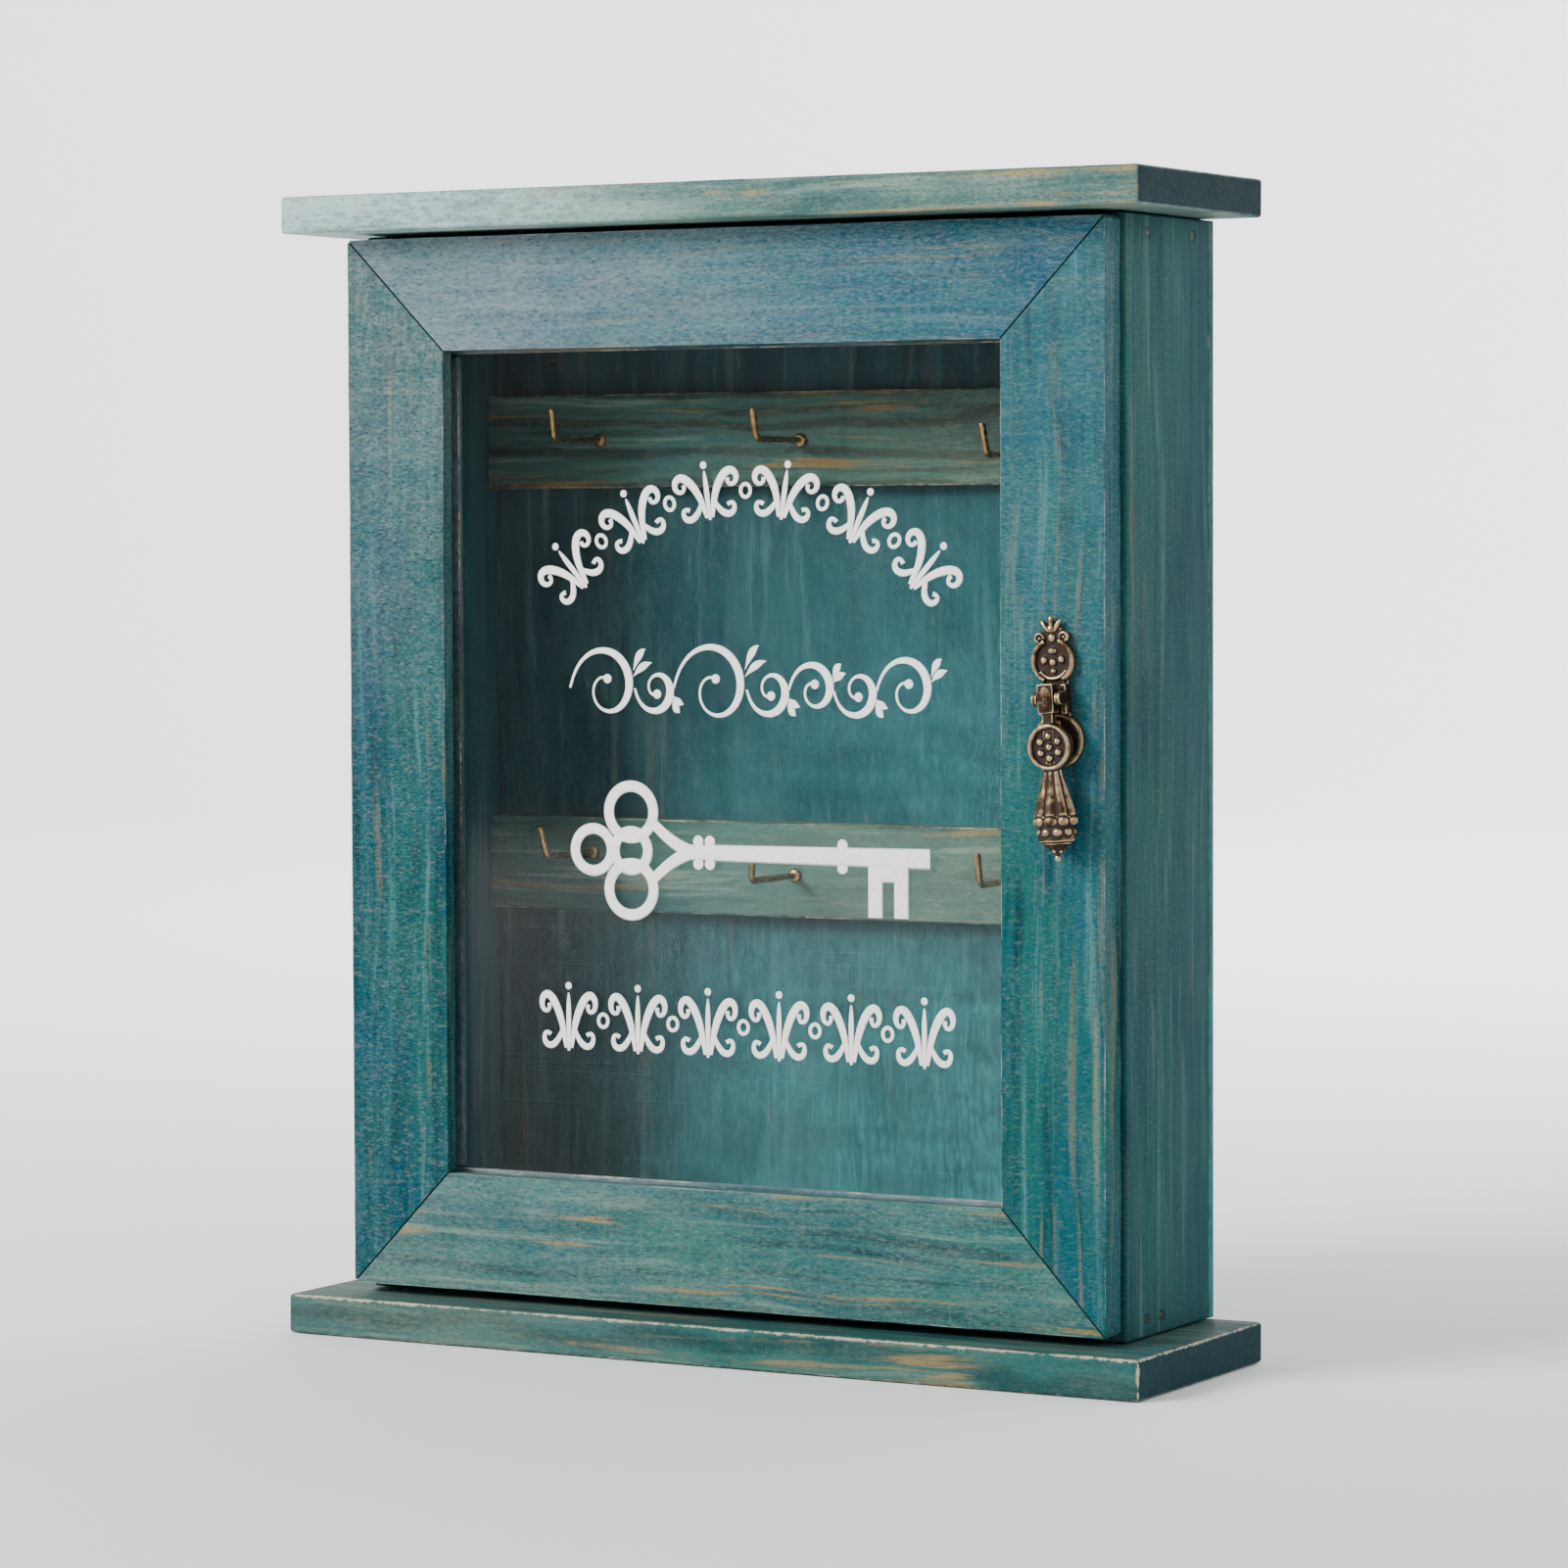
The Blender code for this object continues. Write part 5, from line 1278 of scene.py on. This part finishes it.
@dataclass
class Pull:
    """The cast pendant pull: a crowned backplate with a wreath, and a fluted drop on a pin."""

    mount: Vector = field(default_factory=lambda: mm(97.4, -25.1, 170.6))
    lean: float = -4.0
    stand_off: float = 5.6 * MM
    voxel: float = 0.12 * MM

    @property
    def frame(self) -> Matrix:
        """From the pull's own axes, its back at Y 0 and its pivot at Z 0, to the cabinet's."""
        return Matrix.Translation(self.mount) @ Matrix.Rotation(math.radians(self.lean), 4, "Y")

    def plate_blank(self, bm: Mesh) -> None:
        """Flat parts of the backplate: crown, wreath bed, neck and lower lobe."""
        flat = Matrix.Rotation(math.pi / 2, 4, "X")
        for across, up, radius, thick in ((0, 9.2, 5.6, 1.2), (0, -10.4, 6.7, 1.1), (0, 16.4, 2.6, 1.2),
                                          (3.4, 15.0, 1.35, 1.2), (-3.4, 15.0, 1.35, 1.2)):
            place = Matrix.Translation(mm(across, 0, up)) @ flat
            disc = ((0, 0), (radius, 0), (radius, thick - 0.3), (radius - 0.3, thick), (0, thick))
            turned(bm, disc, 48, place)
        box_into(bm, mm(-3.7, -1.3, -5.5), mm(3.7, 0, 4.5))

    def plate_relief(self, bm: Mesh) -> None:
        """Raised work: petals, scrolls, wreath, flower and the lobe's rim."""
        for turn in (-34, 0, 34):
            lean = math.radians(turn)
            reach = (18.6 if turn == 0 else 18.3) - 15.4
            middle = mm(math.sin(lean) * reach, -1.15, 15.4 + math.cos(lean) * reach)
            ball(bm, middle, mm(0.72, 0.85, 2.0), turn)
        ball(bm, mm(0, -1.3, 14.9), mm(1.0, 0.8, 1.1))
        for side in (-1, 1):
            curl, wreath = ((-70, 210), (-62, 68)) if side > 0 else ((-30, 250), (112, 242))
            arc_bar(bm, mm(side * 3.3, -1.3, 15.0), 1.0, (0.5, 0.65), *curl, 24)
            ball(bm, mm(side * 3.3, -1.3, 14.9), mm(0.45, 0.55, 0.45))
            arc_bar(bm, mm(0, -1.35, 9.2), 5.25, (0.72, 0.95), *wreath, 40)
        ball(bm, mm(0, -1.5, 11.7), mm(1.25, 0.75, 0.85))
        for across, up in ((-2.4, 9.5), (2.4, 9.5), (0, 8.9)):
            ball(bm, mm(across, -1.5, up), mm(0.88, 0.85, 1.0))
        ball(bm, mm(0, -1.45, 6.7), mm(0.75, 0.75, 0.7))
        arc_bar(bm, mm(0, -1.3, 9.2), 4.35, (0.6, 0.7), 215, 325, 24)
        arc_bar(bm, mm(0, -1.05, -10.4), 6.15, (0.72, 0.7), 0, 360, 64)

    def lugs(self, bm: Mesh) -> None:
        """Two rounded ears that carry the pivot."""
        for side in (-1, 1):
            inner, outer = (2.5, 3.8) if side > 0 else (-3.8, -2.5)
            box_into(bm, mm(inner, -self.stand_off / MM, -1.75), mm(outer, -0.6, 1.75))
            box_into(bm, mm(inner, -3.4, -3.9), mm(outer, -0.6, 3.3))
            eye = Matrix.Translation(mm(inner, -self.stand_off / MM, 0))
            lie = eye @ Matrix.Rotation(math.pi / 2, 4, "Y")
            turned(bm, [(0, 0), (1.75, 0), (1.75, 1.3), (0, 1.3)], 28, lie)

    def drop_head(self, bm: Mesh) -> None:
        """The eye on the pin, the neck and the beaded disc below it."""
        box_into(bm, mm(-2.1, -1.7, -3.5), mm(2.1, 1.4, 3.6))
        ball(bm, mm(0, -1.35, 0.05), mm(2.05, 1.1, 3.4))
        box_into(bm, mm(-1.4, -1.1, -10.0), mm(1.4, 1.0, -3.0))
        lie = Matrix.Translation(mm(0, 1.4, -11.8)) @ Matrix.Rotation(math.pi / 2, 4, "X")
        disc = ((0, 0), (5.2, 0), (5.85, 0.7), (5.85, 2.2), (5.5, 2.75), (4.9, 2.8), (4.5, 2.2), (0, 2.2))
        turned(bm, disc, 72, lie)
        arc_bar(bm, mm(0, -1.2, -11.8), 5.2, (0.6, 0.65), 0, 360, 72)
        ball(bm, mm(0, -0.9, -11.8), mm(0.95, 1.0, 0.95))
        for index in range(6):
            angle = math.radians(60 * index + 30)
            ball(bm, mm(2.75 * math.cos(angle), -0.9, -11.8 + 2.75 * math.sin(angle)), mm(0.98, 1.0, 0.98))

    def drop_bell(self, bm: Mesh) -> None:
        """The fluted bell, its bead rows, the ring and the tip."""
        own = bmesh.new()
        outline = [(0.0, -15.2), (1.9, -15.3), (2.1, -16.2), (2.75, -19.0), (3.7, -22.0), (4.7, -25.0),
                   (5.4, -27.4), (5.65, -28.4), (5.2, -29.0), (4.9, -29.3), (4.9, -35.0), (0.0, -35.0)]
        turned(own, outline, 120)
        for vert in own.verts:
            radius = math.hypot(vert.co.x, vert.co.y)
            if radius > 1.5 * MM and -28.7 * MM < vert.co.z:
                angle = math.atan2(vert.co.y, vert.co.x)
                rib = abs(math.cos((angle + math.pi / 2) * 4.5)) ** 0.55
                depth = 1.0 - 0.26 * (1.0 - rib)
                vert.co.x *= depth
                vert.co.y *= depth
        bmesh.ops.scale(own, vec=(1.0, 0.6, 1.0), verts=own.verts)
        merge_in(bm, own)
        own = bmesh.new()
        lower = [(0.0, -28.6), (4.85, -28.7), (4.9, -30.5), (4.35, -31.7), (4.2, -33.6), (3.5, -34.4),
                 (3.9, -34.9), (3.9, -35.5), (3.3, -36.0), (2.2, -36.8), (1.5, -37.6), (0.9, -38.3),
                 (0.0, -38.4)]
        turned(own, lower, 64)
        bmesh.ops.scale(own, vec=(1.0, 0.62, 1.0), verts=own.verts)
        merge_in(bm, own)
        for up, radius, wide, tall, shift in ((-30.0, 4.7, 1.8, 1.3, 0.0), (-32.7, 4.2, 1.6, 1.15, 0.5)):
            for index in range(9):
                angle = math.tau * (index + shift) / 9 - math.pi / 2
                ball(bm, mm(radius * math.cos(angle), radius * 0.6 * math.sin(angle), up),
                     mm(wide - 0.5 * abs(math.cos(angle)), 1.0, tall))
        for index in range(5):
            angle = math.tau * (index + 0.5) / 5
            ball(bm, mm(1.3 * math.cos(angle), 0.9 * math.sin(angle), -37.2), mm(0.6, 0.5, 0.7))
        ball(bm, mm(0, 0, -39.2), mm(0.85, 0.75, 0.95))

    def cast(self, node: str, body: str, parts: Sequence[Callable[[Mesh], None]],
             place: Matrix) -> None:
        """Make one casting and mark its relief.

        Args:
            node: the CAD node that it stands for.
            body: the body that it rides on.
            parts: what adds its solids.
            place: from the pull's axes to the cabinet's.
        """
        bm = bmesh.new()
        for part in parts:
            part(bm)
        bm = fuse(bm, self.voxel)
        bmesh.ops.transform(bm, matrix=place, verts=bm.verts)
        mark_relief(put(f"{node}_cast", bm, CAST_BRASS.material(), body, (node,)))

    def build(self) -> None:
        """Cast the backplate and the drop, and dress the pins."""
        self.cast("pull_backplate", "door", (self.plate_blank, self.plate_relief, self.lugs), self.frame)
        self.cast("pull_drop", "drop", (self.drop_head, self.drop_bell),
                  self.frame @ Matrix.Translation((0, -self.stand_off, 0)))
        dress(HINGE_BRASS.material(), "pull_pivot_pin", "pull_nail_upper", "pull_nail_lower")


# ---------------------------------------------------------------- ironwork

@dataclass(frozen=True)
class Ironwork:
    """Metal nodes that keep the frame's shapes: how their names start, and their finish."""

    names: tuple[str, ...]
    finish: Brass

    def build(self) -> None:
        """Dress them."""
        for name in sorted(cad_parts):
            if name.startswith(self.names):
                dress(self.finish.material(), name)


IRONWORK = (
    Ironwork(("hinge_",), HINGE_BRASS),
    Ironwork(("hanger_plate", "catch_magnet", "catch_strike"), ZINC),
    Ironwork(("side_nail", "hanger_nail"), NAIL_IRON),
)


# ---------------------------------------------------------------- stage, lights, camera

@dataclass(frozen=True)
class Lamp:
    """A soft square lamp."""

    name: str
    place: Point
    size: float
    power: float
    aim: Point
    colour: Colour = (1.0, 1.0, 1.0)

    def build(self) -> None:
        """Hang the lamp and turn it to what it lights."""
        data = bpy.data.lights.new(self.name, "AREA")
        data.shape, data.size, data.energy, data.color = "SQUARE", self.size, self.power, self.colour
        lamp = hold(self.name, data)
        lamp.location = self.place
        lamp.rotation_euler = (Vector(self.aim) - Vector(self.place)).to_track_quat("-Z", "Y").to_euler()
        lamp.visible_camera = False


@dataclass
class Studio:
    """A pale floor that sweeps up all round, plain soft lamps and the camera."""

    floor_radius: float = 2.6
    floor_height: float = -0.2 * MM
    floor_tone: float = 0.94
    sweep: float = 1.4
    sweep_steps: int = 12
    wall_height: float = 3.2
    sky_strength: float = 0.3
    lamps: tuple[Lamp, ...] = (
        Lamp("key_lamp", (-1.15, -1.75, 1.30), 1.0, 79.0, (0.0, -0.02, 0.15)),
        Lamp("fill_lamp", (2.1, -0.9, 1.1), 1.6, 13.0, (0.0, -0.02, 0.15)),
        Lamp("wall_lamp", (0.2, 1.3, 2.0), 1.2, 170.0, (-1.2, 3.6, 0.3)),
    )
    eye: Point = (0.69257, -1.22661, 0.21336)
    yaw: float = 29.233
    pitch: float = -2.719
    roll: float = -0.221
    lens: float = 125.19
    sensor: float = 36.0

    def floor(self) -> None:
        """The floor, matt and nearly white."""
        outline = [(0.0, self.floor_height), (self.floor_radius, self.floor_height)]
        for step in range(1, self.sweep_steps + 1):
            angle = math.pi / 2 * step / self.sweep_steps
            out, up = self.sweep * math.sin(angle), self.sweep * (1 - math.cos(angle))
            outline.append((self.floor_radius + out, up))
        outline.append((self.floor_radius + self.sweep, self.wall_height))
        bm = bmesh.new()
        spun(bm, outline, 64, 0.1 * MM)
        bmesh.ops.reverse_faces(bm, faces=bm.faces)
        material, _, shader = new_material("pale_floor")
        shader.inputs["Base Color"].default_value = (self.floor_tone, self.floor_tone, self.floor_tone, 1.0)
        shader.inputs["Roughness"].default_value = 0.9
        floor = stand("pale_floor", bm, material)

    def sky(self) -> None:
        """A plain pale surround."""
        world = bpy.data.worlds.new("surround")
        world.use_nodes = True
        light = world.node_tree.nodes["Background"]
        light.inputs["Color"].default_value = (1.0, 1.0, 1.0, 1.0)
        light.inputs["Strength"].default_value = self.sky_strength
        bpy.context.scene.world = world

    def camera(self) -> None:
        """The camera at the object's own viewing angle."""
        yaw, pitch, roll = (math.radians(a) for a in (self.yaw, self.pitch, self.roll))
        ahead = Vector((-math.sin(yaw) * math.cos(pitch), math.cos(yaw) * math.cos(pitch), math.sin(pitch)))
        right = ahead.cross(Vector((0, 0, 1))).normalized()
        up = right.cross(ahead)
        across = math.cos(roll) * right + math.sin(roll) * up
        over = -math.sin(roll) * right + math.cos(roll) * up
        data = bpy.data.cameras.new("camera")
        data.lens, data.sensor_width, data.clip_start, data.clip_end = self.lens, self.sensor, 0.01, 50.0
        camera = hold("camera", data)
        turn = Matrix((across, over, -ahead)).transposed().to_4x4()
        camera.matrix_world = Matrix.Translation(self.eye) @ turn
        bpy.context.scene.camera = camera

    def build(self) -> None:
        """Set the stage."""
        self.floor()
        self.sky()
        for lamp in self.lamps:
            lamp.build()
        self.camera()


def main() -> None:
    """Build the studio, then the cabinet from the carcass out."""
    logging.basicConfig(level=logging.INFO, format="%(message)s")
    Studio().build()
    Carcass().build()
    Door().build()
    Ornament().build()
    for hook in HOOKS:
        hook.build()
    Pull().build()
    for ironwork in IRONWORK:
        ironwork.build()


if __name__ == "__main__":
    main()
